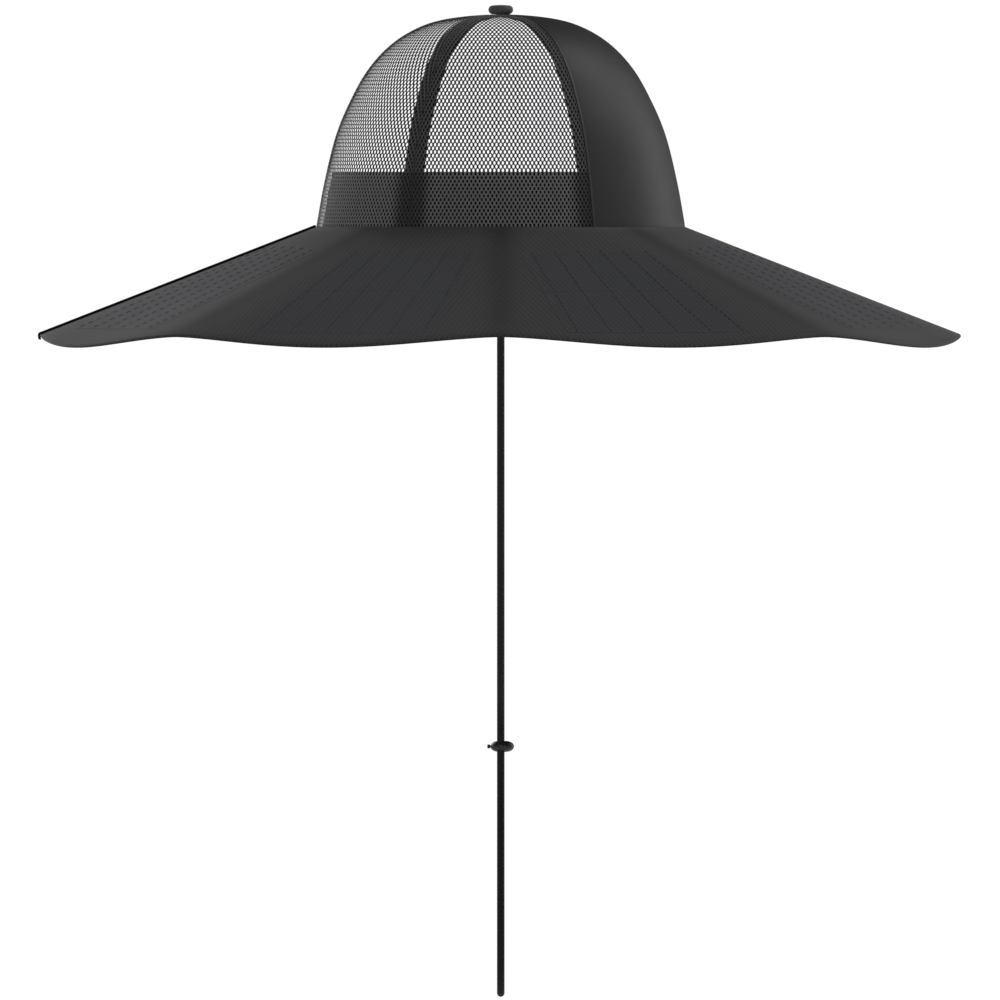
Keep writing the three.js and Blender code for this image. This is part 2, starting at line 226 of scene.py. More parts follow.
def new_material(name: str) -> tuple[bpy.types.Material, NodeWriter, bpy.types.Node]:
    """Makes an empty node material.

    Args:
        name: The material's name.

    Returns:
        The material, the writer for its tree and its Principled shader.
    """
    material = bpy.data.materials.new(name)
    material.use_nodes = True
    material.node_tree.nodes.clear()
    write = NodeWriter(material.node_tree)
    shader = write.add("ShaderNodeBsdfPrincipled")
    write.add("ShaderNodeOutputMaterial", {"Surface": shader.outputs["BSDF"]})
    return material, write, shader


def weave_height(
    write: NodeWriter, place: Any, pitch: float, turn: float, stretch: float = 1.0, skew: float = 0.0
) -> bpy.types.NodeSocket:
    """Height of a plain weave, from 0 to 1.

    Args:
        write: The material's writer.
        place: Socket of the place on the cloth, in metres.
        pitch: Distance between neighbouring threads, in metres.
        turn: Turn of the weave on the cloth, in radians.
        stretch: How much longer the weave is along the second axis.
        skew: How far the threads lean over, in threads for each one crossed.

    Returns:
        The height's socket.
    """
    scale = math.pi / pitch
    mapping = {"Vector": place, "Rotation": (0, 0, turn), "Scale": (scale, scale / stretch, scale)}
    turned = write.add("ShaderNodeMapping", mapping)
    parts = write.add("ShaderNodeSeparateXYZ", {0: turned.outputs[0]})
    leaning = write.math("MULTIPLY_ADD", parts.outputs[1], skew, parts.outputs[0])
    product = write.math("MULTIPLY", write.math("SINE", leaning), write.math("SINE", parts.outputs[1]))
    return write.math("MULTIPLY_ADD", product, 0.5, 0.5)


def speckle(write: NodeWriter, place: Any, scale: float, detail: float = 2.0) -> bpy.types.NodeSocket:
    """Soft random height or shade, from 0 to 1.

    Args:
        write: The material's writer.
        place: Socket of the place, in metres.
        scale: Cells for each metre.
        detail: Octaves of detail.

    Returns:
        The value's socket.
    """
    inputs = {"Vector": place, "Scale": scale, "Detail": detail, "Roughness": 0.6}
    return write.add("ShaderNodeTexNoise", inputs).outputs["Fac"]


def blended(write: NodeWriter, attribute: str, plain: Any, marked: Any) -> bpy.types.NodeSocket:
    """Blends two colours by one of the piece's attributes.

    Args:
        write: The material's writer.
        attribute: Name of the attribute, 0 for the plain colour and 1 for the marked one.
        plain: Colour where the attribute is 0.
        marked: Colour where it is 1.

    Returns:
        The colour's socket.
    """
    share = write.add("ShaderNodeAttribute", attribute_name=attribute).outputs["Fac"]
    return write.add("ShaderNodeMix", {0: share, 6: plain, 7: marked}, data_type="RGBA").outputs[2]


def finish_shader(
    write: NodeWriter,
    shader: bpy.types.Node,
    color: Any,
    height: Any,
    bump: tuple[float, float],
    levels: Inputs,
) -> None:
    """Joins a colour and a relief to the shader, and sets what is even all over.

    Args:
        write: The material's writer.
        shader: The Principled shader.
        color: Socket of the colour.
        height: Socket of the relief's height, from 0 to 1.
        bump: Strength and depth of the relief.
        levels: Input name of the shader to value.
    """
    inputs = {"Strength": bump[0], "Distance": bump[1], "Height": height}
    relief = write.add("ShaderNodeBump", inputs)
    write.tree.links.new(color, shader.inputs["Base Color"])
    write.tree.links.new(relief.outputs[0], shader.inputs["Normal"])
    for name, value in levels.items():
        shader.inputs[name].default_value = value


def mark_points(piece: bpy.types.Object, attribute: str, values: np.ndarray) -> None:
    """Stores a number at each point of a piece.

    Args:
        piece: The object.
        attribute: The attribute's name.
        values: One number for each point.
    """
    layer = piece.data.attributes.new(attribute, "FLOAT", "POINT")
    layer.data.foreach_set("value", np.asarray(values, dtype=np.float32))


@dataclass(frozen=True)
class Cloth:
    """Woven cloth with a fine relief and soft mottling."""

    name: str
    color: Color
    roughness: float = 0.85
    sheen: float = 0.15
    sheen_roughness: float = 0.4
    pitch: float = 0.65 * MM
    turn: float = math.pi / 4
    contrast: float = 0.25
    relief: float = 0.08 * MM
    strength: float = 0.8
    mottle: float = 0.12
    mottle_scale: float = 900.0
    mottle_relief: float = 0.35
    stretch: float = 1.0
    skew: float = 0.0
    lining: Color | None = None
    ridge_shade_color: Color | None = None

    def material(self) -> bpy.types.Material:
        """Makes the material from the piece's UV map, and its attributes for a lining or for painted shade
        along ridges.
        """
        material, write, shader = new_material(self.name)
        place = write.add("ShaderNodeTexCoord").outputs["UV"]
        weave = weave_height(write, place, self.pitch, self.turn, self.stretch, self.skew)
        grain = speckle(write, place, self.mottle_scale)
        woven = write.about_one(weave, self.contrast)
        shade = write.math("MULTIPLY", woven, write.about_one(grain, 2 * self.mottle))
        height = write.math("MULTIPLY_ADD", grain, self.mottle_relief, weave)
        color = write.scaled(self.color, shade)
        # Painted shade: a darker colour along the ridges, where an attribute marks it.
        if self.ridge_shade_color:
            color = blended(write, PAINTED_RIDGE_SHADE, color, write.scaled(self.ridge_shade_color, shade))
        if self.lining:
            color = blended(write, LINED, color, write.scaled(self.lining, shade))
        levels = {
            "Roughness": self.roughness,
            "Sheen Weight": self.sheen,
            "Sheen Roughness": self.sheen_roughness,
            "Specular IOR Level": SOFT_SPECULAR,
        }
        finish_shader(write, shader, color, height, (self.strength, self.relief), levels)
        return material


@dataclass(frozen=True)
class Film:
    """Laminated solar film with a fine embossed face and a plainer margin."""

    name: str
    color: Color
    margin_color: Color
    roughness: float = 0.5
    sheen: float = 0.15
    sheen_roughness: float = 0.4
    emboss: float = 1.46 * MM
    stretch: float = 1.48
    skew: float = 0.93
    contrast: float = 0.55
    relief: float = 0.05 * MM
    strength: float = 0.6
    grain_scale: float = 900.0
    grain_contrast: float = 0.3
    cell_line: float = 175.0 * MM
    cell_line_width: float = 0.5 * MM
    cell_line_shade: float = 0.25

    def material(self) -> bpy.types.Material:
        """Makes the material from the piece's UV map and its margin attribute."""
        material, write, shader = new_material(self.name)
        place = write.add("ShaderNodeTexCoord").outputs["UV"]
        emboss = weave_height(write, place, self.emboss, 0.0, self.stretch, self.skew)
        grain = write.about_one(speckle(write, place, self.grain_scale), self.grain_contrast)
        shade = write.math("MULTIPLY", write.about_one(emboss, self.contrast), grain)
        along = write.add("ShaderNodeSeparateXYZ", {0: place}).outputs[1]
        line = write.math("COMPARE", along, self.cell_line, self.cell_line_width)
        drawn = write.math("MULTIPLY_ADD", line, -self.cell_line_shade, 1.0)
        shade = write.math("MULTIPLY", shade, drawn)
        margin, cell = (write.scaled(color, shade) for color in (self.margin_color, self.color))
        color = blended(write, INSIDE, margin, cell)
        levels = {
            "Roughness": self.roughness,
            "Sheen Weight": self.sheen,
            "Sheen Roughness": self.sheen_roughness,
            "Specular IOR Level": SOFT_SPECULAR,
        }
        finish_shader(write, shader, color, emboss, (self.strength, self.relief), levels)
        return material


@dataclass(frozen=True)
class Yarn:
    """Bare yarn of a net or a braid, with fine fibres."""

    name: str
    color: Color
    roughness: float = 0.7
    sheen: float = 0.2
    fibre_scale: float = 2600.0
    fibre_contrast: float = 0.5
    relief: float = 0.05 * MM
    strength: float = 0.7
    painted_lit_color: Color | None = None

    def material(self) -> bpy.types.Material:
        """Makes the material from object coordinates, and its attribute for painted light if it has one."""
        material, write, shader = new_material(self.name)
        place = write.add("ShaderNodeTexCoord").outputs["Object"]
        grain = speckle(write, place, self.fibre_scale)
        shade = write.about_one(grain, self.fibre_contrast)
        color = write.scaled(self.color, shade)
        # Painted light: the yarn is lighter where an attribute marks it.
        if self.painted_lit_color:
            color = blended(write, PAINTED_LIGHT, color, write.scaled(self.painted_lit_color, shade))
        levels = {
            "Roughness": self.roughness,
            "Sheen Weight": self.sheen,
            "Specular IOR Level": SOFT_SPECULAR,
        }
        finish_shader(write, shader, color, grain, (self.strength, self.relief), levels)
        return material


@dataclass(frozen=True)
class Moulding:
    """Moulded plastic with faint flow marks."""

    name: str
    color: Color
    roughness: float = 0.3
    specular: float = 0.35
    flow_scale: float = 260.0
    flow_detail: float = 3.0
    flow_contrast: float = 0.3
    flow_roughness: float = 0.12
    relief: float = 0.05 * MM
    strength: float = 0.25

    def material(self) -> bpy.types.Material:
        """Makes the material, with flow marks in its colour and gloss."""
        material, write, shader = new_material(self.name)
        place = write.add("ShaderNodeTexCoord").outputs["Object"]
        flow = speckle(write, place, self.flow_scale, self.flow_detail)
        color = write.scaled(self.color, write.about_one(flow, self.flow_contrast))
        rough = write.math("MULTIPLY_ADD", flow, self.flow_roughness, self.roughness)
        write.tree.links.new(rough, shader.inputs["Roughness"])
        levels = {"Specular IOR Level": self.specular}
        finish_shader(write, shader, color, flow, (self.strength, self.relief), levels)
        return material


# Painted light: the net's yarn is near black, and lighter where it lies over the band and tapes.
NET_YARN = Yarn("net_yarn", (0.012, 0.012, 0.012), painted_lit_color=(0.22, 0.22, 0.222))
CROWN_CLOTH = Cloth(
    "crown_cloth",
    (0.051, 0.051, 0.052),
    roughness=0.5,
    sheen=0.0,
    pitch=0.8 * MM,
    turn=0.0,
    contrast=0.22,
    relief=0.03 * MM,
    mottle=0.06,
)
# Painted light: a lighter copy of the crown's cloth for the button, which the lamps reach little.
LIT_BUTTON_CLOTH = Cloth("painted_lit_button_cloth", (0.13, 0.13, 0.13), pitch=0.6 * MM, relief=0.03 * MM)
BRIM_CLOTH = Cloth(
    "brim_cloth",
    (0.058, 0.058, 0.057),
    pitch=1.46 * MM,
    turn=0.0,
    contrast=0.55,
    mottle=0.15,
    stretch=1.48,
    skew=0.93,
    lining=(0.006, 0.006, 0.006),
    # Painted shade: the darker colour laid along the brim's ridges.
    ridge_shade_color=(0.019, 0.019, 0.019),
)
TAPE_CLOTH = Cloth("tape_cloth", (0.006, 0.006, 0.006), pitch=0.9 * MM, turn=0.0, contrast=0.4)
BAND_CLOTH = Cloth("band_cloth", (0.006, 0.006, 0.006), pitch=0.8 * MM, contrast=0.5)
SOLAR_FILM = Film("solar_film", (0.051, 0.053, 0.063), (0.055, 0.056, 0.059), roughness=0.8)
CONTACT = Yarn("contact_line", (0.023, 0.024, 0.031), roughness=0.5, sheen=0.0)
CORD_YARN = Yarn("cord_yarn", (0.005, 0.005, 0.005), roughness=0.6, sheen=0.0, relief=0.015 * MM)
STOPPER_PLASTIC = Moulding("stopper_plastic", (0.026, 0.026, 0.027))


# Meshes


def link_object(name: str, data: bpy.types.ID) -> bpy.types.Object:
    """Makes an object and links it to the scene."""
    thing = bpy.data.objects.new(name, data)
    bpy.context.scene.collection.objects.link(thing)
    return thing


def settle(piece: bpy.types.Object, slot: str, *nodes: str) -> None:
    """Rides a piece on the hat's body and lets it stand for nodes.

    Args:
        piece: The object.
        slot: The record's material slot; not used.
        nodes: The nodes that it replaces.
    """
    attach(piece, BODY)
    if nodes:
        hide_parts(*nodes)
    LOG.info("%s: %d faces", piece.name, len(piece.data.polygons))


def new_piece(
    name: str,
    points: np.ndarray,
    faces: Sequence[Sequence[int]],
    material: bpy.types.Material,
    places: np.ndarray | None = None,
) -> bpy.types.Object:
    """Makes a smooth mesh object at the origin.

    Args:
        name: The piece's name.
        points: Vertices, in metres.
        faces: Vertex numbers of each face.
        material: The piece's material.
        places: UV place of each face corner, in metres.

    Returns:
        The object, linked to the scene.
    """
    mesh = bpy.data.meshes.new(name)
    mesh.from_pydata(np.asarray(points).tolist(), [], faces)
    mesh.materials.append(material)
    mesh.polygons.foreach_set("use_smooth", np.ones(len(mesh.polygons), dtype=bool))
    if places is not None:
        layer = mesh.uv_layers.new(name="cloth")
        layer.data.foreach_set("uv", np.asarray(places, dtype=np.float32).ravel())
    mesh.update()
    return link_object(name, mesh)


def signed_volume(points: np.ndarray, faces: Sequence[Sequence[int]]) -> float:
    """Measure of a closed mesh's volume, negative if its faces point inwards.

    Args:
        points: Vertices.
        faces: Vertex numbers of each face.

    Returns:
        Six times the volume.
    """
    total = 0.0
    for face in faces:
        for second, third in zip(face[1:], face[2:]):
            a, b, c = points[face[0]], points[second], points[third]
            total += float(np.dot(a, np.cross(b, c)))
    return total


def closed_shell(
    name: str,
    outer: np.ndarray,
    inner: np.ndarray,
    places: np.ndarray,
    material: bpy.types.Material,
    wrap: bool = False,
) -> bpy.types.Object:
    """Makes a closed sheet between two grids of points.

    Args:
        name: The piece's name.
        outer: Grid of points, row by column by 3.
        inner: The matching grid on the other face.
        places: Grid of UV places, row by column by 2.
        material: The piece's material.
        wrap: True if the last column repeats the first, so that the sheet is a ring.

    Returns:
        The object.
    """
    rows, columns = outer.shape[0], outer.shape[1]
    kept = columns - 1 if wrap else columns
    points = np.concatenate([outer[:, :kept].reshape(-1, 3), inner[:, :kept].reshape(-1, 3)])
    quads: list[list[tuple[int, int, int]]] = []
    for row in range(rows - 1):
        for column in range(columns - 1):
            corners = [(row, column), (row, column + 1), (row + 1, column + 1), (row + 1, column)]
            quads.append([(*corner, 0) for corner in corners])
            quads.append([(*corner, 1) for corner in reversed(corners)])
    for column in range(columns - 1):
        for row, way in ((0, 1), (rows - 1, -1)):
            edge = [(row, column, 0), (row, column, 1), (row, column + 1, 1), (row, column + 1, 0)]
            quads.append(edge[::way])
    if not wrap:
        for row in range(rows - 1):
            for column, way in ((0, -1), (columns - 1, 1)):
                edge = [(row, column, 0), (row, column, 1), (row + 1, column, 1), (row + 1, column, 0)]
                quads.append(edge[::way])
    faces = [[side * rows * kept + row * kept + column % kept for row, column, side in q] for q in quads]
    if signed_volume(points, faces) < 0:
        faces = [face[::-1] for face in faces]
        quads = [quad[::-1] for quad in quads]
    corners_uv = np.array([places[row, column] for quad in quads for row, column, _ in quad])
    return new_piece(name, points, faces, material, corners_uv)


def face_corners(mesh: bpy.types.Mesh) -> np.ndarray:
    """Vertex number of each face corner."""
    corner = np.zeros(len(mesh.loops), dtype=np.int32)
    mesh.loops.foreach_get("vertex_index", corner)
    return corner


def round_edges(piece: bpy.types.Object, width: float, limit: float = 50.0) -> None:
    """Rounds a piece's sharp edges and keeps the result as its mesh.

    Args:
        piece: The object.
        width: Width of the rounding, in metres.
        limit: Edges sharper than this many degrees are rounded.
    """
    bevel = piece.modifiers.new("rounding", "BEVEL")
    bevel.width = width
    bevel.segments = 2
    bevel.limit_method = "ANGLE"
    bevel.angle_limit = math.radians(limit)
    bake_modifiers(piece)


def lathe(profile: Sequence[tuple[float, float]], sides: int) -> tuple[np.ndarray, list[list[int]]]:
    """Turns a profile round the vertical axis.

    Args:
        profile: Radius and height of each point, the first and last on the axis.
        sides: Steps round the axis.

    Returns:
        Points and faces of a closed mesh.
    """
    inner = profile[1:-1]
    angles = 2 * math.pi * np.arange(sides) / sides
    rings = [[(r * math.cos(a), r * math.sin(a), z) for a in angles] for r, z in inner]
    points = [(0.0, 0.0, profile[0][1])] + [p for ring in rings for p in ring]
    points.append((0.0, 0.0, profile[-1][1]))
    last = len(points) - 1
    faces: list[list[int]] = []
    for side in range(sides):
        after = (side + 1) % sides
        faces.append([0, 1 + after, 1 + side])
        for ring in range(len(inner) - 1):
            low, high = 1 + ring * sides, 1 + (ring + 1) * sides
            faces.append([low + side, low + after, high + after, high + side])
        top = 1 + (len(inner) - 1) * sides
        faces.append([top + side, top + after, last])
    return np.array(points), faces


def smooth_curve(points: np.ndarray) -> np.ndarray:
    """Points along the centripetal Catmull-Rom curve through a few given ones.

    Args:
        points: The points that the curve goes through.

    Returns:
        The curve's points.
    """
    padded = np.vstack([2 * points[0] - points[1], points, 2 * points[-1] - points[-2]])
    share = (np.arange(SPAN_STEPS) / SPAN_STEPS)[:, None]
    spans = []
    for p0, p1, p2, p3 in zip(padded, padded[1:], padded[2:], padded[3:]):
        d0, d1, d2 = (math.sqrt(np.linalg.norm(b - a)) for a, b in ((p0, p1), (p1, p2), (p2, p3)))
        t1 = ((p1 - p0) / d0 - (p2 - p0) / (d0 + d1) + (p2 - p1) / d1) * d1
        t2 = ((p2 - p1) / d1 - (p3 - p1) / (d1 + d2) + (p3 - p2) / d2) * d1
        square = -3 * p1 + 3 * p2 - 2 * t1 - t2
        cube = 2 * p1 - 2 * p2 + t1 + t2
        spans.append(p1 + t1 * share + square * share**2 + cube * share**3)
    return np.vstack(spans + [points[-1:]])


def walked(points: np.ndarray) -> np.ndarray:
    """Distance along a line of points at each of them."""
    return np.concatenate([[0.0], np.cumsum(np.linalg.norm(np.diff(points, axis=0), axis=1))])


def together(*parts: Any) -> np.ndarray:
    """Grids of coordinates of any matching shapes, put side by side in the last axis."""
    return np.stack(np.broadcast_arrays(*parts), axis=-1)


# Surfaces that several pieces follow


class CrownSurface:
    """The crown's outer face: a side outline turned round an oval head."""

    OUTLINE_MM = (
        (100.0, 0.0),
        (95.6, 24.4),
        (89.1, 50.4),
        (81.9, 67.7),
        (72.2, 85.0),
        (60.5, 98.0),
        (47.5, 106.7),
        (32.6, 112.1),
        (0.0, 115.2),
    )
    WIDTH_RATIO = 0.93
    TOP_HOLE = 3.2 * MM
    TUCK = 0.4 * MM
    TUCKED_BELOW = 1.01 * GAP
    NET_STRETCH = 1.25

    def __init__(self) -> None:
        """Works out the outline from the base to the top."""
        half = np.array(self.OUTLINE_MM) * MM
        arch = np.vstack([half, (half[:-1] * (-1, 1))[::-1]])
        self.curve = smooth_curve(arch)[: (len(half) - 1) * SPAN_STEPS + 1]
        self.distance = walked(self.curve)
        self.slope = float(self.distance[-1])
        self.tangent = np.gradient(self.curve, self.distance, axis=0)
        self.tangent[-1] = (-1.0, 0.0)
        stretch = 1 / np.maximum(self.tangent[:, 1], 1 / self.NET_STRETCH)
        steps = np.diff(self.distance) / ((stretch[1:] + stretch[:-1]) / 2)
        self.net_distance = np.concatenate([[0.0], np.cumsum(steps)])

    def net_up(self, row_place: Any) -> np.ndarray:
        """Distance up the slope of a place in the net, whose holes are longer where it leans."""
        return np.interp(row_place, self.net_distance, self.distance)

    def profile(self, up: Any) -> tuple[np.ndarray, np.ndarray, np.ndarray, np.ndarray]:
        """Outline at a distance up the slope.

        Args:
            up: Distance up the slope, in metres.

        Returns:
            Half-length, height and the two parts of the tangent.
        """
        read = [np.interp(up, self.distance, self.curve[:, k]) for k in (0, 1)]
        along = [np.interp(up, self.distance, self.tangent[:, k]) for k in (0, 1)]
        return read[0], read[1], along[0], along[1]

    def point(self, angle: Any, up: Any, depth: Any) -> np.ndarray:
        """A point in or under the crown's face.

        Args:
            angle: Angle from the front, in radians.
            up: Distance up the slope.
            depth: Depth inside the face.

        Returns:
            The points, with their coordinates last.
        """
        radius, height, out, rise = self.profile(up)
        radius = radius - depth * rise
        height = np.where(up <= self.TUCKED_BELOW, -self.TUCK, np.maximum(height + depth * out, GAP))
        x = radius * np.cos(angle)
        y = radius * self.WIDTH_RATIO * np.sin(angle)
        return together(x, y, height)

    def reach(self, middle: float, up: Any) -> np.ndarray:
        """Distance across the face for each radian at an angle."""
        stretch = math.hypot(math.sin(middle), self.WIDTH_RATIO * math.cos(middle))
        return self.profile(up)[0] * stretch

    def length_at(self, height: float) -> float:
        """Half-length of the crown at a height."""
        return float(np.interp(height, self.curve[:, 1], self.curve[:, 0]))

    @property
    def top(self) -> float:
        """Distance up the slope at which the panels end, at the top hole."""
        return self.slope - self.TOP_HOLE


@dataclass(frozen=True)
class BrimSurface:
    """The brim's upper face: eight sectors that dip between straight ridges."""

    base_length: float = 100.0 * MM
    base_width: float = 93.0 * MM
    width: float = 149.3 * MM
    ridge_drop: float = 58.2 * MM
    sector_dip: float = 5.8 * MM
    softness: float = 1.5
    sectors: int = 8
    halvings: int = 30

    @property
    def sector(self) -> float:
        """Angle of one sector, in radians."""
        return 2 * math.pi / self.sectors

    def ridge_angle(self, angle: Any) -> np.ndarray:
        """Angle from the nearest ridge, in radians."""
        turn = np.mod(angle, self.sector)
        return np.minimum(turn, self.sector - turn)

    def height(self, angle: Any, share: Any) -> np.ndarray:
        """Height of the face.

        Args:
            angle: Angle from the front, in radians.
            share: Share of the way out, from 0 at the crown to 1 at the rim.

        Returns:
            The heights.
        """
        from_ridge = self.ridge_angle(angle) / (self.sector / 2)
        dip = np.sin(math.pi / 2 * from_ridge) ** self.softness
        return -share * (self.ridge_drop + self.sector_dip * dip)

    def point(self, angle: Any, out: Any, lift: Any = 0.0) -> np.ndarray:
        """A point over the face.

        Args:
            angle: Angle from the front.
            out: Distance out from the crown's base.
            lift: Height over the face.

        Returns:
            The points, with their coordinates last.
        """
        x = (self.base_length + out) * np.cos(angle)
        y = (self.base_width + out) * np.sin(angle)
        z = self.height(angle, np.maximum(out, 0.0) / self.width) + lift
        return together(x, y, z)

    def over(self, x: np.ndarray, y: np.ndarray) -> np.ndarray:
        """Height of the face over points of the plan.

        Args:
            x: Distances to the front.
            y: Distances to the left.

        Returns:
            The heights.
        """
        low, high = np.zeros_like(x), np.ones_like(x)
        for _ in range(self.halvings):
            middle = (low + high) / 2
            length = self.base_length + self.width * middle
            breadth = self.base_width + self.width * middle
            outside = np.hypot(x / length, y / breadth) > 1
            low, high = np.where(outside, middle, low), np.where(outside, high, middle)
        length = self.base_length + self.width * low
        breadth = self.base_width + self.width * low
        return self.height(np.arctan2(y / breadth, x / length), low)


# Repeats along lines


class DashTree:
    """Geometry Nodes tree that lays small rounded marks in rows along lines.

    The lines are edges whose points carry the outward direction of the face they lie on.
    """

    DIRECTION = "outward"

    def __init__(self) -> None:
        """Builds the tree."""
        sockets = TreeSockets("dash_rows", ("Pitch", "Length", "Width", "Height"))
        write, inputs = sockets.write, sockets.inputs
        line = write.add("GeometryNodeMeshToCurve", {"Mesh": inputs["Geometry"]})
        even = {"Curve": line.outputs[0], "Length": inputs["Pitch"]}
        steps = write.add("GeometryNodeResampleCurve", even, mode="LENGTH")
        ball = write.add("GeometryNodeMeshUVSphere", {"Segments": 8, "Rings": 4, "Radius": 0.5})
        size = {0: inputs["Length"], 1: inputs["Width"], 2: inputs["Height"]}
        sizes = write.add("ShaderNodeCombineXYZ", size)
        shaped = {"Geometry": ball.outputs["Mesh"], "Scale": sizes.outputs[0]}
        mark = write.add("GeometryNodeTransform", shaped)
        outward = write.add("GeometryNodeInputNamedAttribute", {"Name": self.DIRECTION})
        outward.data_type = "FLOAT_VECTOR"
        along = write.add("GeometryNodeInputTangent")
        kind = "FunctionNodeAlignRotationToVector"
        stand = write.add(kind, {"Vector": outward.outputs["Attribute"]}, axis="Z")
        turned = {"Rotation": stand.outputs[0], "Vector": along.outputs[0]}
        lie = write.add(kind, turned, axis="X", pivot_axis="Z")
        placed = {
            "Points": steps.outputs[0],
            "Instance": mark.outputs[0],
            "Rotation": lie.outputs[0],
        }
        marks = write.add("GeometryNodeInstanceOnPoints", placed)
        self.tree = sockets.close(marks.outputs[0])

    def lay(
        self,
        name: str,
        lines: Sequence[tuple[np.ndarray, np.ndarray]],
        material: bpy.types.Material,
        pitch: float,
        size: tuple[float, float, float],
    ) -> bpy.types.Object:
        """Lays marks along lines.

        Args:
            name: The new piece's name.
            lines: Points and outward directions of each line.
            material: The marks' material.
            pitch: Distance from mark to mark.
            size: Length, width and height of a mark.

        Returns:
            The piece.
        """
        mesh = bpy.data.meshes.new(name)
        starts = np.cumsum([0] + [len(points) for points, _ in lines])
        edges = [(i, i + 1) for low, high in zip(starts, starts[1:]) for i in range(low, high - 1)]
        mesh.from_pydata(np.vstack([points for points, _ in lines]).tolist(), edges, [])
        outward = mesh.attributes.new(self.DIRECTION, "FLOAT_VECTOR", "POINT")
        outward.data.foreach_set("vector", np.vstack([d for _, d in lines]).astype(np.float32).ravel())
        piece = link_object(name, mesh)
        values = dict(zip(("Length", "Width", "Height"), size))
        bake_tree(piece, self.tree, {"Pitch": pitch, "Material": material, **values})
        return piece


class NetTree:
    """Geometry Nodes tree that turns a sheet of six-sided cells into a net with rounded strands."""

    WELD = 0.002 * MM

    def __init__(self) -> None:
        """Builds the tree."""
        names = ("Hole Width", "Hole Height", "Strand Rise", "Thickness")
        sockets = TreeSockets("net_strands", names)
        write, inputs = sockets.write, sockets.inputs
        cells = {"Mesh": inputs["Geometry"], "Offset Scale": 0.0, "Individual": True}
        split = write.add("GeometryNodeExtrudeMesh", cells, mode="FACES")
        normal = write.add("GeometryNodeInputNormal").outputs[0]
        across = write.vector("NORMALIZE", write.vector("CROSS_PRODUCT", (0.0, 0.0, 1.0), normal))
        upward = write.vector("CROSS_PRODUCT", normal, across)
        mesh, holes = split.outputs["Mesh"], split.outputs["Top"]
        for axis, share in ((across, "Hole Width"), (upward, "Hole Height")):
            shrink = {"Geometry": mesh, "Selection": holes, "Scale": inputs[share], "Axis": axis}
            kind = "GeometryNodeScaleElements"
            mesh = write.add(kind, shrink, domain="FACE", scale_mode="SINGLE_AXIS").outputs[0]
        sunk = write.scaled(normal, write.math("MULTIPLY", inputs["Strand Rise"], -1.0))
        sink = {"Geometry": mesh, "Selection": holes, "Offset": sunk}
        rounded = write.add("GeometryNodeSetPosition", sink)
        cut = {"Geometry": rounded.outputs[0], "Selection": holes}
        face = write.add("GeometryNodeDeleteGeometry", cut, domain="FACE")
        inwards = write.math("MULTIPLY", inputs["Thickness"], -1.0)
        thick = {"Mesh": face.outputs[0], "Offset Scale": inwards, "Individual": False}
        back = write.add("GeometryNodeExtrudeMesh", thick, mode="FACES")
        turned = write.add("GeometryNodeFlipFaces", {"Mesh": back.outputs["Mesh"]})
        both = write.add("GeometryNodeJoinGeometry")
        for source in (face.outputs[0], turned.outputs[0]):
            write.tree.links.new(source, both.inputs[0])
        welded = {"Geometry": both.outputs[0], "Distance": self.WELD}
        weld = write.add("GeometryNodeMergeByDistance", welded)
        self.tree = sockets.close(weld.outputs[0])


# Sub-assemblies


class Side(Enum):
    """Which side of the wearer a net panel lies on."""

    LEFT = 1
    RIGHT = -1


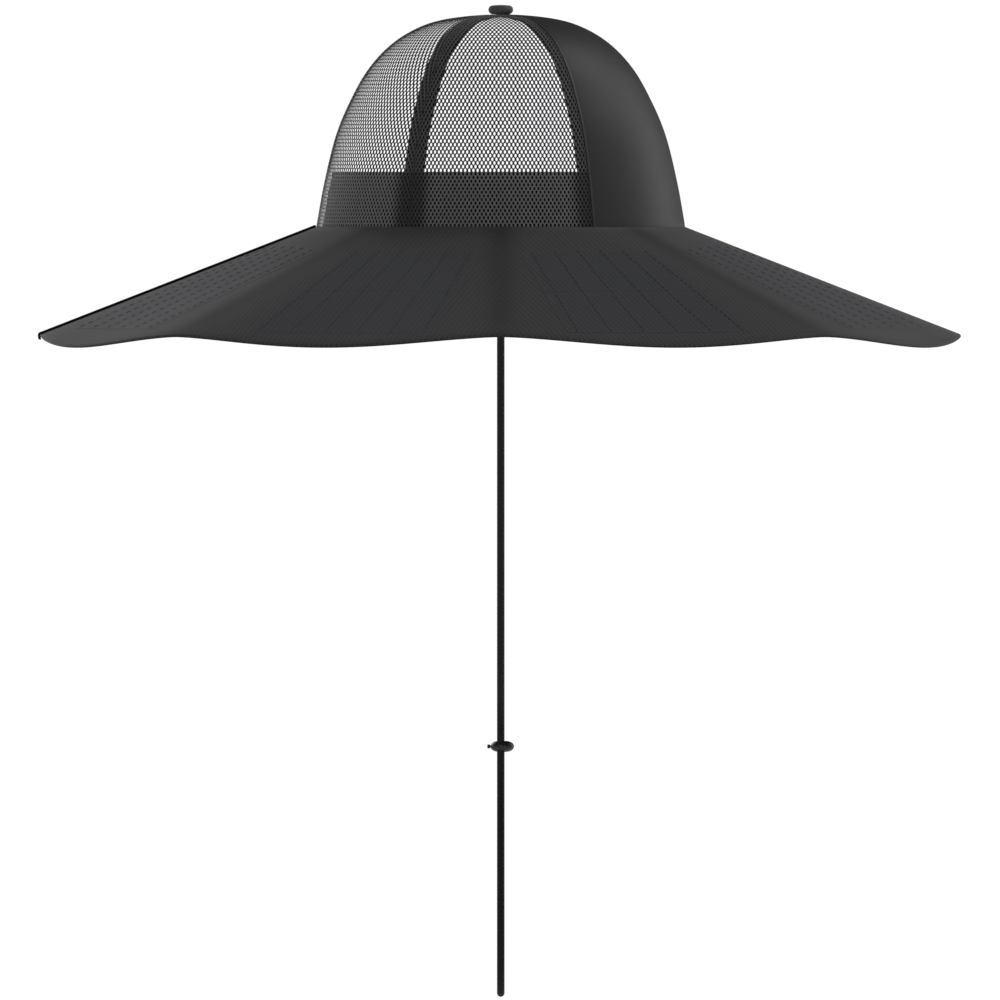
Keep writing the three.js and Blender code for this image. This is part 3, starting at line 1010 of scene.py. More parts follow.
@dataclass(frozen=True)
class NetPanels:
    """The four net panels of the crown, with their real fine holes."""

    surface: CrownSurface
    pitch: float = 2.29 * MM
    hole_width: float = 0.51
    hole_height: float = 0.80
    strand_rise: float = 0.08 * MM
    thickness: float = 0.16 * MM
    # Where light is painted on the yarn: over the band and the tapes, less near the seams.
    band_top: float = 29.8 * MM
    tape_half_width: float = 6.2 * MM
    seam_shade: tuple[float, float] = (4.0 * MM, 14.0 * MM)
    seam_light: float = 0.2
    tape_light: float = 0.42
    overhang: float = 0.2
    side_span: tuple[float, float] = (60.0, 120.0)
    back_span: tuple[float, float] = (120.0, 180.0)

    def cells(self, middle: float, half_span: float) -> tuple[np.ndarray, list[list[int]], np.ndarray]:
        """Six-sided cells that fill a panel, cut straight at its seams.

        Args:
            middle: Angle of the panel's middle, in radians.
            half_span: Half of the angle between its seams.

        Returns:
            Points on the crown, the faces of the cells, and how much light is painted on the yarn at each
            point.
        """
        radius = self.pitch / math.sqrt(3)
        row_step = 1.5 * radius
        corners = [(math.cos(a), math.sin(a)) for a in np.radians(30 + 60 * np.arange(6))]
        known: dict[tuple[int, int], int] = {}
        flat: list[tuple[float, float]] = []
        faces: list[list[int]] = []
        for row in range(int(self.surface.slope / row_step)):
            up = float(self.surface.net_up((row + 0.5) * row_step))
            if up > self.surface.top:
                break
            half = float(self.surface.reach(middle, up)) * half_span
            shift = 0.5 * (row % 2)
            most = int(half / self.pitch) + 1
            for column in range(-most - 1, most + 1):
                across = (column + shift) * self.pitch
                if abs(across) > half + self.overhang * self.pitch:
                    continue
                face = []
                for dx, dy in corners:
                    spot = (across + radius * dx, (row + 0.5) * row_step + radius * dy)
                    key = (round(spot[0] / self.pitch * 4), round(spot[1] / radius * 4))
                    if key not in known:
                        known[key] = len(flat)
                        flat.append(spot)
                    face.append(known[key])
                faces.append(face)
        places = np.array(flat)
        up = np.clip(self.surface.net_up(places[:, 1]), GAP, self.surface.top)
        reach = self.surface.reach(middle, up)
        limit = half_span * reach - GAP / 2
        across = np.clip(places[:, 0], -limit, limit)
        points = self.surface.point(middle + across / reach, up, self.strand_rise / 2)
        # Painted light on the yarn: lighter over the band, less near the seams, some over the tapes, none
        # where the net is open.
        from_seam = limit - np.abs(across)
        share = np.interp(from_seam, self.seam_shade, (0.0, 1.0))
        over_band = self.seam_light + (1 - self.seam_light) * share**2 * (3 - 2 * share)
        over_tape = np.where(from_seam < self.tape_half_width, self.tape_light, 0.0)
        painted_light = np.where(points[:, 2] < self.band_top, over_band, over_tape)
        return points, faces, painted_light

    def build(self, tree: NetTree, material: bpy.types.Material) -> None:
        """Builds the panels in place of the coarse ones.

        Args:
            tree: The tree that cuts the holes.
            material: The yarn's material.
        """
        for label, span in (("side", self.side_span), ("back", self.back_span)):
            middle = math.radians(sum(span) / 2)
            half_span = math.radians(span[1] - span[0]) / 2
            points, faces, painted_light = self.cells(middle, half_span)
            for side in Side:
                name = f"{label}_{side.name.lower()}"
                mirrored = points * (1, side.value, 1)
                turned = faces if side is Side.LEFT else [face[::-1] for face in faces]
                piece = new_piece(f"net_{name}", mirrored, turned, material)
                mark_points(piece, PAINTED_LIGHT, painted_light)
                values = {
                    "Hole Width": self.hole_width,
                    "Hole Height": self.hole_height,
                    "Strand Rise": self.strand_rise,
                    "Thickness": self.thickness,
                    "Material": material,
                }
                bake_tree(piece, tree.tree, values)
                settle(piece, "net", f"crown_{name}")


@dataclass(frozen=True)
class FrontPanel:
    """The crown's solid front, with a turned edge along its seams."""

    surface: CrownSurface
    half_angle: float = math.radians(60)
    thickness: float = 1.2 * MM
    edge_rise: float = 0.22 * MM
    edge_width: float = 1.1 * MM
    edge_steps_mm: tuple[float, ...] = (0.0, 0.35, 0.7, 1.1, 1.5, 2.0, 2.6)
    edge_most: float = 0.4
    groove_depth: float = 0.12 * MM
    groove_place: float = 1.6 * MM
    groove_width: float = 0.4 * MM
    rounding: float = 0.25 * MM
    columns: int = 64
    rows: int = 60

    def build(self, material: bpy.types.Material) -> None:
        """Builds the panel.

        Args:
            material: The cloth's material.
        """
        ups = np.linspace(GAP, self.surface.top, self.rows + 1)
        radius = self.surface.profile(ups)[0]
        end = self.half_angle - GAP / 2 / (radius * CrownSurface.WIDTH_RATIO)
        near = np.array(self.edge_steps_mm) * MM
        inside = np.linspace(-1, 1, self.columns + 1)
        angles, depths = [], []
        for limit, size in zip(end, radius):
            step = np.minimum(near / size, limit * self.edge_most * near / near[-1])
            core = inside * (limit - step[-1])
            angles.append(np.concatenate([-limit + step[:-1], core, (limit - step[:-1])[::-1]]))
            rim = np.exp(-((near[:-1] / self.edge_width) ** 4)) * self.edge_rise
            dent = np.exp(-(((near[:-1] - self.groove_place) / self.groove_width) ** 2)) * self.groove_depth
            edge = dent - rim
            depths.append(np.concatenate([edge, np.zeros_like(core), edge[::-1]]))
        angle, depth = np.array(angles), np.array(depths)
        up = np.repeat(ups[:, None], angle.shape[1], axis=1)
        outer = self.surface.point(angle, up, depth)
        inner = self.surface.point(angle, up, self.thickness)
        places = np.stack([angle * radius[:, None], up], axis=-1)
        piece = closed_shell("front_panel", outer, inner, places, material)
        round_edges(piece, self.rounding)
        settle(piece, "crown_cloth", "crown_front")


@dataclass(frozen=True)
class SeamTapes:
    """Flat tapes sewn inside the seams of the net."""

    surface: CrownSurface
    width: float = 12.4 * MM
    thickness: float = 0.6 * MM
    depth: float = 0.45 * MM
    end_angle: float = math.radians(27)
    end_gap: float = 5.5 * MM
    rounding: float = 0.25 * MM
    rows: int = 48
    columns: int = 6
    seams: tuple[tuple[str, float], ...] = (
        ("front_left", 60.0),
        ("side_left", 120.0),
        ("back", 180.0),
        ("side_right", -120.0),
        ("front_right", -60.0),
    )

    def build(self, material: bpy.types.Material) -> None:
        """Builds the five tapes.

        Args:
            material: The tape's material.
        """
        ups = np.linspace(GAP, self.surface.slope - self.end_gap, self.rows + 1)
        radius = self.surface.profile(ups)[0]
        spread = np.minimum(self.width / 2 / radius, self.end_angle)
        across = np.linspace(-1, 1, self.columns + 1)
        for label, seam in self.seams:
            angle = math.radians(seam) + spread[:, None] * across[None, :]
            up = np.repeat(ups[:, None], self.columns + 1, axis=1)
            outer = self.surface.point(angle, up, self.depth)
            inner = self.surface.point(angle, up, self.depth + self.thickness)
            places = np.stack([across[None, :] * (spread * radius)[:, None], up], axis=-1)
            piece = closed_shell(f"tape_{label}", outer, inner, places, material)
            round_edges(piece, self.rounding)
            settle(piece, "tape", f"seam_tape_{label}")


@dataclass(frozen=True)
class Sweatband:
    """The padded band inside the crown's lower edge."""

    surface: CrownSurface
    brim: BrimSurface
    inset: float = 3.4 * MM
    thickness: float = 2.0 * MM
    top: float = 29.8 * MM
    bottom: float = -1.8 * MM
    edge_pull: float = 0.42
    columns: int = 144
    rows: int = 16

    def build(self, material: bpy.types.Material) -> None:
        """Builds the band.

        Args:
            material: The cloth's material.
        """
        angle = np.linspace(0, 2 * math.pi, self.columns + 1)[None, :]
        share = (1 - np.cos(np.linspace(0, math.pi, self.rows + 1)))[:, None] / 2
        height = self.bottom + (self.top - self.bottom) * share
        base = self.brim.base_length
        lean = np.array([self.surface.length_at(max(h, 0.0)) - base for h in height[:, 0]])[:, None]
        near_end = np.minimum(share, 1 - share) * (self.top - self.bottom)
        soft = np.clip(near_end / (self.thickness / 2), 0, 1)
        pull = (1 - np.sqrt(1 - (1 - soft) ** 2)) * self.thickness * self.edge_pull
        middle = lean - self.inset - self.thickness / 2
        half = self.thickness / 2 - pull
        faces = [self.around(angle, middle + way * half, height) for way in (1, -1)]
        places = together(angle * base, height)
        piece = closed_shell("padded_band", *faces, places, material, wrap=True)
        settle(piece, "band", "sweatband")

    def around(self, angle: np.ndarray, out: np.ndarray, height: np.ndarray) -> np.ndarray:
        """Points round the head at a distance from the crown's base."""
        x = (self.brim.base_length + out) * np.cos(angle)
        y = (self.brim.base_width + out) * np.sin(angle)
        return together(x, y, height)


@dataclass(frozen=True)
class TopButton:
    """The cloth-covered button, a flat pill with gathers under its edge."""

    seat: float = 115.2 * MM
    radius: float = 6.75 * MM
    height: float = 5.1 * MM
    neck_radius: float = 2.4 * MM
    neck_depth: float = 1.2 * MM
    neck_rise: float = 0.2 * MM
    edge_share: float = 0.46
    edge_turn: float = 84.0
    edge_steps: int = 15
    dome: float = 0.05
    gather: float = 0.12 * MM
    gathers: int = 14
    sides: int = 112

    def build(self, material: bpy.types.Material) -> None:
        """Builds the button.

        Args:
            material: The cloth's material.
        """
        edge = self.height * self.edge_share
        middle, foot, core = self.seat + edge, self.seat - self.neck_depth, self.radius - edge
        profile = [(0.0, foot), (self.neck_radius, foot), (self.neck_radius, self.seat + self.neck_rise)]
        for turn in np.radians(np.linspace(-self.edge_turn, self.edge_turn, self.edge_steps)):
            rise = edge if turn < 0 else self.height * (1 - self.dome) - edge
            profile.append((core + edge * math.cos(turn), middle + rise * math.sin(turn)))
        for share in (0.75, 0.5, 0.25):
            profile.append((core * share, self.seat + self.height * (1 - self.dome * share**2)))
        profile.append((0.0, self.seat + self.height))
        points, faces = lathe(profile, self.sides)
        angle = np.arctan2(points[:, 1], points[:, 0])
        low = np.clip((middle - points[:, 2]) / edge, 0, 1) * (points[:, 2] > self.seat)
        fold = 1 - self.gather * low * (1 + np.cos(self.gathers * angle)) / self.radius * 2
        points[:, :2] *= fold[:, None]
        corners = np.array([points[i] for face in faces for i in face])
        piece = new_piece("cloth_button", points, faces, material, corners[:, :2])
        settle(piece, "crown_cloth", "top_button")


@dataclass(frozen=True)
class Brim:
    """The stiff cloth brim, one shell with a rounded rim and painted shade along its ridges."""

    surface: BrimSurface
    thickness: float = 1.8 * MM
    inner_edge: float = -3.1 * MM
    columns: int = 384
    rows: int = 22
    rim_turns: tuple[float, ...] = (25.0, 50.0, 75.0)
    # Painted shade along the ridges: its width, its depth, its fade from the crown and what is kept at the
    # rim.
    ridge_shade_width: float = 8.0 * MM
    ridge_shade_depth: float = 0.62
    ridge_shade_fade: float = 28.0 * MM
    rim_ridge_shade: float = 0.4
    rim_fade: float = 22.0 * MM

    def build(self, material: bpy.types.Material) -> None:
        """Builds the brim.

        Args:
            material: The cloth's material.
        """
        angle = np.linspace(0, 2 * math.pi, self.columns + 1)[None, :]
        half = self.thickness / 2
        reach = self.surface.width - half
        flat = np.concatenate([[self.inner_edge, self.inner_edge / 2], np.linspace(0, reach, self.rows)])
        turns = np.radians(self.rim_turns)
        out = np.concatenate([flat, reach + half * np.sin(turns)])[:, None]
        drop = np.concatenate([np.zeros_like(flat), half * (1 - np.cos(turns))])[:, None]
        upper = self.surface.point(angle, out, -drop)
        lower = self.surface.point(angle, out, drop - self.thickness)
        piece = closed_shell("cloth_brim", upper, lower, upper[..., :2], material, wrap=True)
        lined = np.concatenate([np.zeros(upper.shape[0]), np.ones(lower.shape[0])])
        mark_points(piece, LINED, np.repeat(lined, self.columns))
        # Painted shade along the ridges, deepest near the crown.
        painted_ridge_shade = self.ridge_shade(angle, np.maximum(out, 0.0))[:, :-1]
        mark_points(piece, PAINTED_RIDGE_SHADE, np.tile(painted_ridge_shade.ravel(), 2))
        self.lay_grain(piece)
        settle(piece, "brim_cloth", "brim")

    def lay_grain(self, piece: bpy.types.Object) -> None:
        """Lays the weave along each sector's own middle.

        Args:
            piece: The brim.
        """
        mesh = piece.data
        points = np.zeros(len(mesh.vertices) * 3, dtype=np.float32)
        mesh.vertices.foreach_get("co", points)
        spots = points.reshape(-1, 3)[face_corners(mesh)].reshape(-1, 4, 3)
        middle = spots.mean(axis=1)
        sector = self.surface.sector
        facing = (np.floor(np.arctan2(middle[:, 1], middle[:, 0]) / sector) + 0.5) * sector
        cosine, sine = np.cos(facing)[:, None], np.sin(facing)[:, None]
        across = spots[..., 1] * cosine - spots[..., 0] * sine
        along = spots[..., 0] * cosine + spots[..., 1] * sine
        places = np.stack([across, along], axis=-1).astype(np.float32)
        mesh.uv_layers[0].data.foreach_set("uv", places.ravel())

    def ridge_shade(self, angle: np.ndarray, out: np.ndarray) -> np.ndarray:
        """How much shade is painted on the cloth along the ridges, from 0 to 1.

        Args:
            angle: Angles from the front.
            out: Distances out from the crown's base.

        Returns:
            The share at each point.
        """
        from_ridge = self.surface.ridge_angle(angle) * (self.surface.base_width + out)
        depth = self.ridge_shade_depth + (1 - self.ridge_shade_depth) * np.exp(-((out / self.ridge_shade_fade) ** 2))
        inland = np.clip((self.surface.width - out) / self.rim_fade, 0, 1)
        kept = self.rim_ridge_shade + (1 - self.rim_ridge_shade) * inland
        return depth * kept * np.exp(-((from_ridge / self.ridge_shade_width) ** 2))


@dataclass(frozen=True)
class SolarPanels:
    """Thin laminated panels, one in the middle of each brim sector, with dashed contact rows."""

    surface: BrimSurface
    inner: float = 122.0 * MM
    outer: float = 228.0 * MM
    inner_width: float = 79.0 * MM
    outer_width: float = 111.0 * MM
    thickness: float = 0.4 * MM
    lift: float = -0.3 * MM
    corner: float = 4.0 * MM
    corner_steps: tuple[float, ...] = (0.0, 0.06, 0.2, 0.45, 0.75, 1.0)
    margin: float = 3.5 * MM
    margin_slack: float = 0.9
    rows: int = 15
    columns: int = 29
    sharp_from: float = math.radians(40)
    contact_rows: int = 6
    contact_inner_spread: float = 66.0 * MM
    contact_outer_spread: float = 98.0 * MM
    contact_end: float = 3.0 * MM
    contact_steps: int = 40
    dash_pitch: float = 4.9 * MM
    dash_size: tuple[float, float, float] = (3.3 * MM, 0.3 * MM, 0.5 * MM)
    outward: tuple[float, float] = (0.37, 0.93)

    def width_at(self, distance: Any) -> np.ndarray:
        """Width of a panel at a distance from the hat's middle."""
        ends = (self.inner_width, self.outer_width)
        return np.interp(distance, (self.inner, self.outer), ends)

    def on_brim(self, middle: float, distance: Any, across: Any, lift: float) -> np.ndarray:
        """Points over the brim.

        Args:
            middle: Angle of the sector's middle.
            distance: Distance from the hat's middle along it.
            across: Distance to its side.
            lift: Height over the brim.

        Returns:
            The points.
        """
        x = distance * math.cos(middle) - across * math.sin(middle)
        y = distance * math.sin(middle) + across * math.cos(middle)
        return np.stack([x, y, self.surface.over(x, y) + lift], axis=-1)

    def build(self, number: int, material: bpy.types.Material) -> None:
        """Builds one panel.

        Args:
            number: The panel's number, from 1.
            material: The film's material.
        """
        middle = (number - 0.5) * self.surface.sector
        near = self.corner * np.array(self.corner_steps)
        core = np.linspace(self.inner + self.corner, self.outer - self.corner, self.rows)[1:-1]
        distance = np.concatenate([self.inner + near, core, (self.outer - near)[::-1]])
        from_end = np.minimum(distance - self.inner, self.outer - distance)
        left = np.clip(self.corner - from_end, 0, None)
        cut = self.corner - np.sqrt(self.corner**2 - left**2)
        half = self.width_at(distance) / 2 - cut
        edge = 1 - self.margin / (self.outer_width / 2)
        steps = np.unique(np.concatenate([np.linspace(-1, 1, self.columns), [-edge, edge]]))
        across = half[:, None] * steps[None, :]
        along = np.repeat(distance[:, None], len(steps), axis=1)
        upper = self.on_brim(middle, along, across, self.lift + self.thickness)
        lower = self.on_brim(middle, along, across, self.lift)
        places = np.stack([across, along], axis=-1)
        piece = closed_shell(f"film_panel_{number}", upper, lower, places, material)
        self.mark_inside(piece)
        piece.data.set_sharp_from_angle(angle=self.sharp_from)
        settle(piece, "solar_film", f"solar_panel_{number}")

    def mark_inside(self, piece: bpy.types.Object) -> None:
        """Stores which points lie inside the panel's margin.

        Args:
            piece: The panel.
        """
        mesh = piece.data
        place = np.zeros(len(mesh.loops) * 2, dtype=np.float32)
        mesh.uv_layers[0].data.foreach_get("uv", place)
        corner = face_corners(mesh)
        across, along = np.zeros(len(mesh.vertices)), np.zeros(len(mesh.vertices))
        across[corner], along[corner] = place[0::2], place[1::2]
        side = self.width_at(along) / 2 - np.abs(across)
        depth = np.minimum(side, np.minimum(along - self.inner, self.outer - along))
        mark_points(piece, INSIDE, depth > self.margin * self.margin_slack)

    def contacts(self, tree: DashTree, material: bpy.types.Material) -> None:
        """Lays the dashed contact rows of all the panels, as one piece.

        Args:
            tree: The tree that lays marks.
            material: The contact's material.
        """
        lines = []
        first, last = self.inner + self.contact_end, self.outer - self.contact_end
        distance = np.linspace(first, last, self.contact_steps)
        ends = (self.contact_inner_spread, self.contact_outer_spread)
        spread = np.interp(distance, (self.inner, self.outer), ends)
        for sector in range(self.surface.sectors):
            middle = (sector + 0.5) * self.surface.sector
            flat, up = self.outward
            outward = np.tile((flat * math.cos(middle), flat * math.sin(middle), up), (len(distance), 1))
            for row in range(self.contact_rows):
                across = spread * (row / (self.contact_rows - 1) - 0.5)
                points = self.on_brim(middle, distance, across, self.lift + self.thickness)
                lines.append((points, outward))
        piece = tree.lay("contact_rows", lines, material, self.dash_pitch, self.dash_size)
        settle(piece, "solar_film")


@dataclass(frozen=True)
class BackBinding:
    """The strip down the brim's back ridge, turned over the rim."""

    surface: BrimSurface
    width: float = 8.0 * MM
    thickness: float = 1.5 * MM
    start: float = -0.1 * MM
    lift: float = -0.2 * MM
    hook: float = 2.5 * MM
    curl: float = 0.45 * MM
    turns: tuple[float, ...] = (20.0, 40.0, 60.0, 80.0, 100.0)
    underside: float = 0.02 * MM
    rounding: float = 0.3 * MM
    rim_guard: float = 1.0 * MM
    rows: int = 40
    columns: int = 9

    def build(self, material: bpy.types.Material) -> None:
        """Builds the strip.

        Args:
            material: The tape's material.
        """
        slope = self.surface.ridge_drop / self.surface.width
        outs = np.linspace(self.start, self.surface.width, self.rows)
        line = [(-(self.surface.base_length + out), -slope * out + self.lift) for out in outs]
        facing = [np.array([-slope, 1.0]) / math.hypot(slope, 1.0)] * len(line)
        tip = line[-1]
        for turn in np.radians(self.turns):
            line.append(tip)
            facing.append(np.array([-math.sin(turn), math.cos(turn)]))
        for share in (0.5, 1.0):
            line.append((tip[0] + self.curl * share**2, tip[1] - self.hook * share))
            facing.append(np.array([-1.0, 0.0]))
        across = np.linspace(-1, 1, self.columns) * self.width / 2
        grids = []
        for depth in (self.thickness, self.underside):
            middle = np.array(line) + np.array(facing) * depth
            grids.append(np.array([[(x, y, z - self.droop(x, y)) for y in across] for x, z in middle]))
        along = walked(np.array(line))
        places = together(across[None, :], along[:, None])
        piece = closed_shell("binding_strip", *grids, places, material)
        round_edges(piece, self.rounding)
        settle(piece, "tape", "brim_back_binding")

    def droop(self, x: float, y: float) -> float:
        """How far the brim falls from the ridge to a point beside it."""
        rim = self.surface.base_length + self.surface.width
        inside = np.array([max(x, self.rim_guard - rim)] * 2)
        heights = self.surface.over(inside, np.array([0.0, y]))
        return float(heights[0] - heights[1])


@dataclass(frozen=True)
class ChinCord:
    """The limp braided chin cord, one whole loop that hangs through its stopper."""

    radius: float = 2.06 * MM
    step: float = 0.55 * MM
    sides: int = 32
    strands: int = 8
    strand_advance: float = 3.4 * MM
    relief: float = 0.05 * MM
    path_step: int = 8
    half_route_mm: tuple[tuple[float, float], ...] = (
        (88.6, -2.1),
        (88.3, -10.0),
        (86.4, -22.0),
        (79.4, -45.0),
        (63.2, -92.0),
        (46.2, -145.0),
        (29.2, -198.0),
        (13.6, -243.0),
        (5.6, -258.0),
        (3.1, -267.0),
        (3.1, -276.0),
        (3.1, -288.0),
        (3.1, -295.0),
        (4.4, -306.0),
        (8.2, -330.0),
        (10.6, -365.0),
        (10.3, -398.0),
        (7.2, -410.0),
        (0.0, -415.0),
    )

    def route(self) -> np.ndarray:
        """The cord's centreline, from the wearer's right round to the left."""
        half = np.array([(0.0, -side, height) for side, height in self.half_route_mm]) * MM
        whole = np.vstack([half, (half[:-1] * (1, -1, 1))[::-1]])
        dense = smooth_curve(whole)
        distance = walked(dense)
        even = np.linspace(0, distance[-1], int(distance[-1] / self.step) + 1)
        return np.stack([np.interp(even, distance, dense[:, k]) for k in range(3)], axis=1)

    def build(self, material: bpy.types.Material, stopper: bpy.types.Object) -> None:
        """Args:
            material: The yarn's material.
            stopper: The stopper that it carries; not used.
        """
        centre = self.route()
        distance = walked(centre)
        tangent = np.gradient(centre, distance, axis=0)
        tangent /= np.linalg.norm(tangent, axis=1)[:, None]
        out = np.tile((1.0, 0.0, 0.0), (len(centre), 1))
        side = np.cross(tangent, out)
        angle = 2 * math.pi * np.arange(self.sides) / self.sides
        turn = angle[None, :] / (2 * math.pi) * self.strands
        climb = distance[:, None] / self.strand_advance
        one, other = turn + climb, turn - climb
        over = np.mod(np.floor(one) + np.floor(other), 2) < 1
        strand = np.where(over, np.sin(math.pi * np.mod(one, 1)), np.sin(math.pi * np.mod(other, 1)))
        radius = self.radius - self.relief * (1 - np.sqrt(np.abs(strand)))
        ring = np.cos(angle)[:, None] * out[:, None, :] + np.sin(angle)[:, None] * side[:, None, :]
        points = (centre[:, None, :] + radius[..., None] * ring).reshape(-1, 3)
        faces = []
        for row in range(len(centre) - 1):
            for column in range(self.sides):
                after = (column + 1) % self.sides
                low, high = row * self.sides, (row + 1) * self.sides
                faces.append([low + column, low + after, high + after, high + column])
        faces.append(list(range(self.sides))[::-1])
        faces.append([len(points) - self.sides + k for k in range(self.sides)])
        if signed_volume(points, faces) < 0:
            faces = [face[::-1] for face in faces]
        piece = new_piece("braided_cord", points, faces, material)
        settle(piece, "cord", "chin_cord")
        LOG.info("cord length %.3f m", distance[-1])


@dataclass(frozen=True)
class CordStopper:
    """The moulded stopper: a lens-shaped body with a nub behind and two bores for the cord."""

    centre: tuple[float, float, float] = (0.8 * MM, 0.0, -281.4 * MM)
    half_length: float = 6.4 * MM
    half_width: float = 6.3 * MM
    half_height: float = 3.05 * MM
    fullness: float = 0.66
    nub_radius: float = 1.1 * MM
    nub_length: float = 1.5 * MM
    nub_reach: float = 8.1 * MM
    nub_neck_radius: float = 0.65 * MM
    bore_radius: float = 2.3 * MM
    bore_offset: float = 3.1 * MM
    rounding: float = 0.15 * MM
    nub_rounding: float = 0.25 * MM
    rounded_from: float = 40.0
    sharp_from: float = math.radians(50)
    layers: int = 25
    sides: int = 72
    bore_sides: int = 48
    nub_sides: int = 28

    def build(self, material: bpy.types.Material) -> bpy.types.Object:
        """Builds the stopper.

        Args:
            material: The plastic's material.

        Returns:
            The stopper.
        """
        turns = np.radians(np.linspace(-90, 90, self.layers))[1:-1]
        lens = [(math.cos(t) ** self.fullness, self.half_height * math.sin(t)) for t in turns]
        points, faces = lathe([(0.0, -self.half_height), *lens, (0.0, self.half_height)], self.sides)
        points = points * (self.half_length, self.half_width, 1.0) + self.centre
        body = new_piece("stopper", points, faces, material)
        self.combine(body, self.nub(material), "UNION")
        long = 2 * self.half_height
        bore = [(0, -long), (self.bore_radius, -long), (self.bore_radius, long), (0, long)]
        for way in (-1, 1):
            points, faces = lathe(bore, self.bore_sides)
            spot = np.array([0.0, way * self.bore_offset, self.centre[2]])
            self.combine(body, new_piece("bore", points + spot, faces, material), "DIFFERENCE")
        round_edges(body, self.rounding, self.rounded_from)
        body.data.set_sharp_from_angle(angle=self.sharp_from)
        settle(body, "stopper", "cord_stopper")
        return body

    def nub(self, material: bpy.types.Material) -> bpy.types.Object:
        """The nub and its neck, which point to the back."""
        reach, radius, soft = self.nub_reach, self.nub_radius, self.nub_rounding
        shoulder = reach - self.nub_length
        profile = [
            (0.0, -reach),
            (radius - soft, -reach),
            (radius, -reach + soft),
            (radius, -shoulder - soft),
            (radius - soft, -shoulder),
            (self.nub_neck_radius, -shoulder),
            (self.nub_neck_radius, -reach / 2),
            (0.0, -reach / 2),
        ]
        points, faces = lathe(profile, self.nub_sides)
        turned = np.stack([points[:, 2], points[:, 1], -points[:, 0]], axis=1)
        return new_piece("stopper_nub", turned + self.centre, faces, material)

    @staticmethod
    def combine(body: bpy.types.Object, other: bpy.types.Object, operation: str) -> None:
        """Joins or cuts the body with another solid, which is then removed.

        Args:
            body: The object that is kept.
            other: The object that joins or cuts it.
            operation: UNION or DIFFERENCE.
        """
        cut = body.modifiers.new("combine", "BOOLEAN")
        cut.operation = operation
        cut.object = other
        cut.solver = "EXACT"
        bake_modifiers(body)
        bpy.data.objects.remove(other, do_unlink=True)


# Studio


@dataclass(frozen=True)
class Softbox:
    """One soft light, aimed at the hat."""

    name: str
    azimuth: float
    elevation: float
    width: float
    power: float
    height: float = 1.4
    distance: float = 2.2

    def place(self, target: Vector) -> None:
        """Makes the light.

        Args:
            target: The point that it faces.
        """
        data = bpy.data.lights.new(self.name, "AREA")
        data.shape = "RECTANGLE"
        data.size, data.size_y = self.width, self.height
        data.energy = self.power
        light = link_object(self.name, data)
        turn, rise = math.radians(self.azimuth), math.radians(self.elevation)
        away = Vector((math.cos(rise) * math.cos(turn), math.cos(rise) * math.sin(turn), math.sin(rise)))
        light.location = target + away * self.distance
        light.rotation_euler = away.to_track_quat("Z", "Y").to_euler()
        light.visible_camera = False


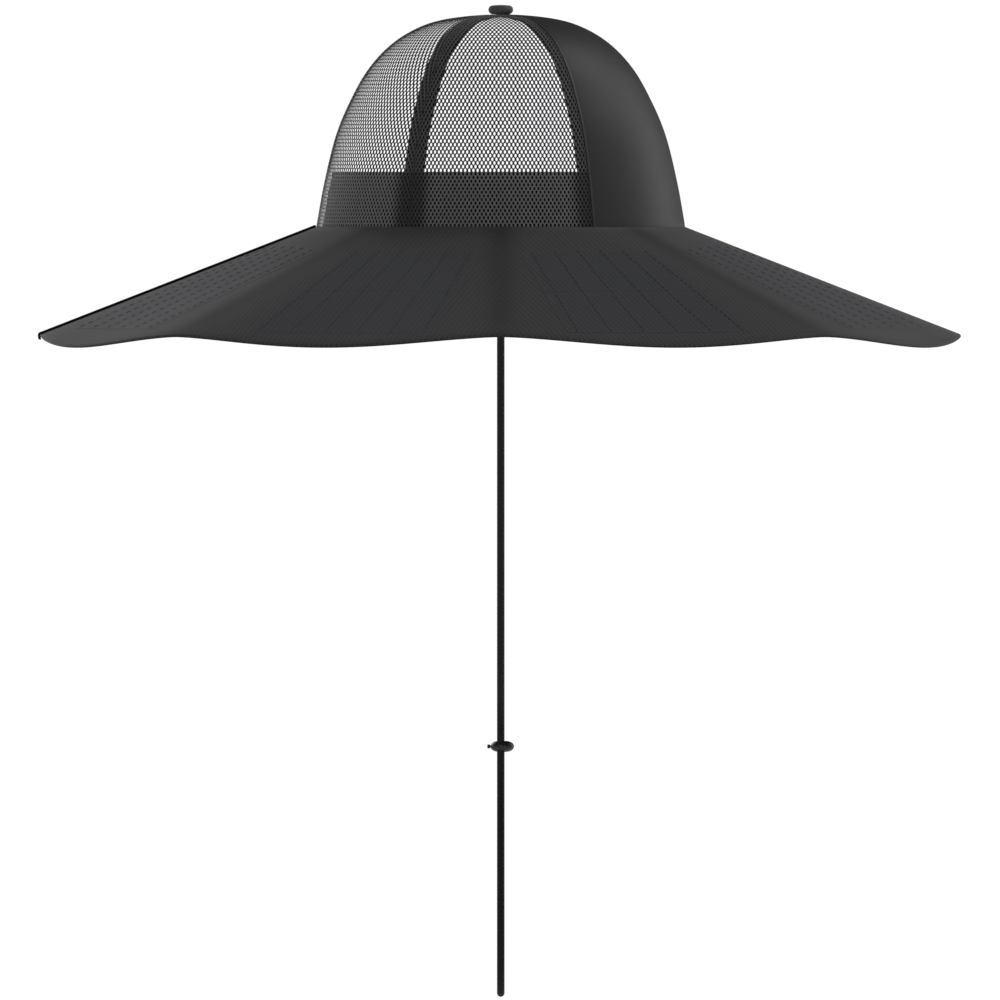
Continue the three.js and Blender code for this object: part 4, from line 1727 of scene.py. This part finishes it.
@dataclass(frozen=True)
class Studio:
    """Floor, surroundings, lights and the camera square to the hat's side."""

    frame_size: float = 0.54171
    view_x: float = -0.41 * MM
    view_z: float = -147.9 * MM
    floor_height: float = -420.0 * MM
    floor_size: float = 60.0
    floor_glow: tuple[float, float] = (0.34, 0.72)
    floor_fade: tuple[float, float] = (0.8, 3.2)
    floor_color: Color = (0.78, 0.78, 0.78)
    floor_mottle: float = 0.04
    floor_mottle_scale: float = 6.0
    floor_roughness: float = 0.9
    horizon: float = 1.02
    horizon_height: float = 0.005
    sky_glow: float = 0.04
    softboxes: tuple[Softbox, ...] = (
        Softbox("left_back", azimuth=150.0, elevation=12.0, width=1.0, power=7.4),
        Softbox("right_back", azimuth=30.0, elevation=12.0, width=1.0, power=8.9),
        Softbox("left_behind", azimuth=120.0, elevation=15.0, width=0.7, power=11.5),
        Softbox("near_left", azimuth=-120.0, elevation=20.0, width=1.0, power=4.2),
        Softbox("near_low", azimuth=-88.0, elevation=-4.0, width=0.4, power=4.0),
        Softbox("high_right", azimuth=12.0, elevation=50.0, width=1.0, power=15.0),
    )

    def camera(self) -> None:
        """Makes the camera at the photograph's angle."""
        data = bpy.data.cameras.new("camera")
        data.type = "ORTHO"
        data.ortho_scale = self.frame_size
        data.clip_start, data.clip_end = 0.01, 100.0
        camera = link_object("camera", data)
        camera.location = (self.view_x, -1.0, self.view_z)
        camera.rotation_euler = (math.pi / 2, 0.0, 0.0)
        bpy.context.scene.camera = camera

    def floor(self) -> None:
        """Makes the pale floor below the hanging cord."""
        material, write, shader = new_material("studio_floor")
        place = write.add("ShaderNodeTexCoord").outputs["Object"]
        spots = speckle(write, place, self.floor_mottle_scale)
        shade = write.math("MULTIPLY_ADD", spots, self.floor_mottle, 1 - self.floor_mottle)
        write.tree.links.new(write.scaled(self.floor_color, shade), shader.inputs["Base Color"])
        shader.inputs["Roughness"].default_value = self.floor_roughness
        shader.inputs["Emission Color"].default_value = WHITE
        away = write.add("ShaderNodeVectorMath", {0: place}, operation="LENGTH").outputs["Value"]
        limits = ("From Min", "From Max", "To Min", "To Max")
        ends = dict(zip(limits, (*self.floor_fade, *self.floor_glow)))
        glow = write.add("ShaderNodeMapRange", {"Value": away, **ends}, interpolation_type="SMOOTHSTEP")
        write.tree.links.new(glow.outputs[0], shader.inputs["Emission Strength"])
        half = self.floor_size / 2
        corners = np.array([(-half, -half), (half, -half), (half, half), (-half, half)])
        points = np.column_stack([corners, np.full(4, self.floor_height)])
        floor = new_piece("studio_floor", points, [[0, 1, 2, 3]], material)

    def surroundings(self) -> None:
        """Makes a thin white horizon, and a dim glow from above."""
        world = bpy.data.worlds.new("studio")
        bpy.context.scene.world = world
        world.use_nodes = True
        world.node_tree.nodes.clear()
        write = NodeWriter(world.node_tree)
        way = write.add("ShaderNodeTexCoord").outputs["Generated"]
        rise = write.add("ShaderNodeSeparateXYZ", {0: way}).outputs["Z"]
        sky = write.math("MULTIPLY", write.math("MAXIMUM", rise, 0.0), self.sky_glow)
        ends = {"From Min": self.horizon_height, "From Max": self.horizon_height / 2}
        light = {"Value": write.math("ABSOLUTE", rise), "To Min": sky, "To Max": self.horizon}
        ring = write.add("ShaderNodeMapRange", {**ends, **light})
        background = write.add("ShaderNodeBackground", {"Color": WHITE, "Strength": ring.outputs[0]})
        write.add("ShaderNodeOutputWorld", {"Surface": background.outputs[0]})

    def build(self) -> None:
        """Builds the floor, the surroundings and the lights."""
        self.floor()
        self.surroundings()
        for softbox in self.softboxes:
            softbox.place(Vector((0.0, 0.0, 0.0)))
        bpy.context.scene.view_settings.view_transform = "Standard"


def corners(box: tuple[Vector, Vector]) -> list[list[float]]:
    """A box's two corners as plain lists."""
    return [list(corner) for corner in box]


def main() -> None:
    """Loads the frame, and builds every piece and the studio."""
    logging.basicConfig(level=logging.INFO, format="%(name)s: %(message)s")
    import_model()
    studio = Studio()
    studio.camera()
    cord_material = CORD_YARN.material()
    stopper = CordStopper().build(STOPPER_PLASTIC.material())
    ChinCord().build(cord_material, stopper)

    crown, brim_face = CrownSurface(), BrimSurface()
    FrontPanel(crown).build(CROWN_CLOTH.material())
    NetPanels(crown).build(NetTree(), NET_YARN.material())
    tape = TAPE_CLOTH.material()
    SeamTapes(crown).build(tape)
    Sweatband(crown, brim_face).build(BAND_CLOTH.material())
    TopButton().build(LIT_BUTTON_CLOTH.material())

    Brim(brim_face).build(BRIM_CLOTH.material())
    panels = SolarPanels(brim_face)
    film = SOLAR_FILM.material()
    for number in range(1, brim_face.sectors + 1):
        panels.build(number, film)
    panels.contacts(DashTree(), CONTACT.material())
    BackBinding(brim_face).build(tape)
    studio.build()


if __name__ == "__main__":
    main()
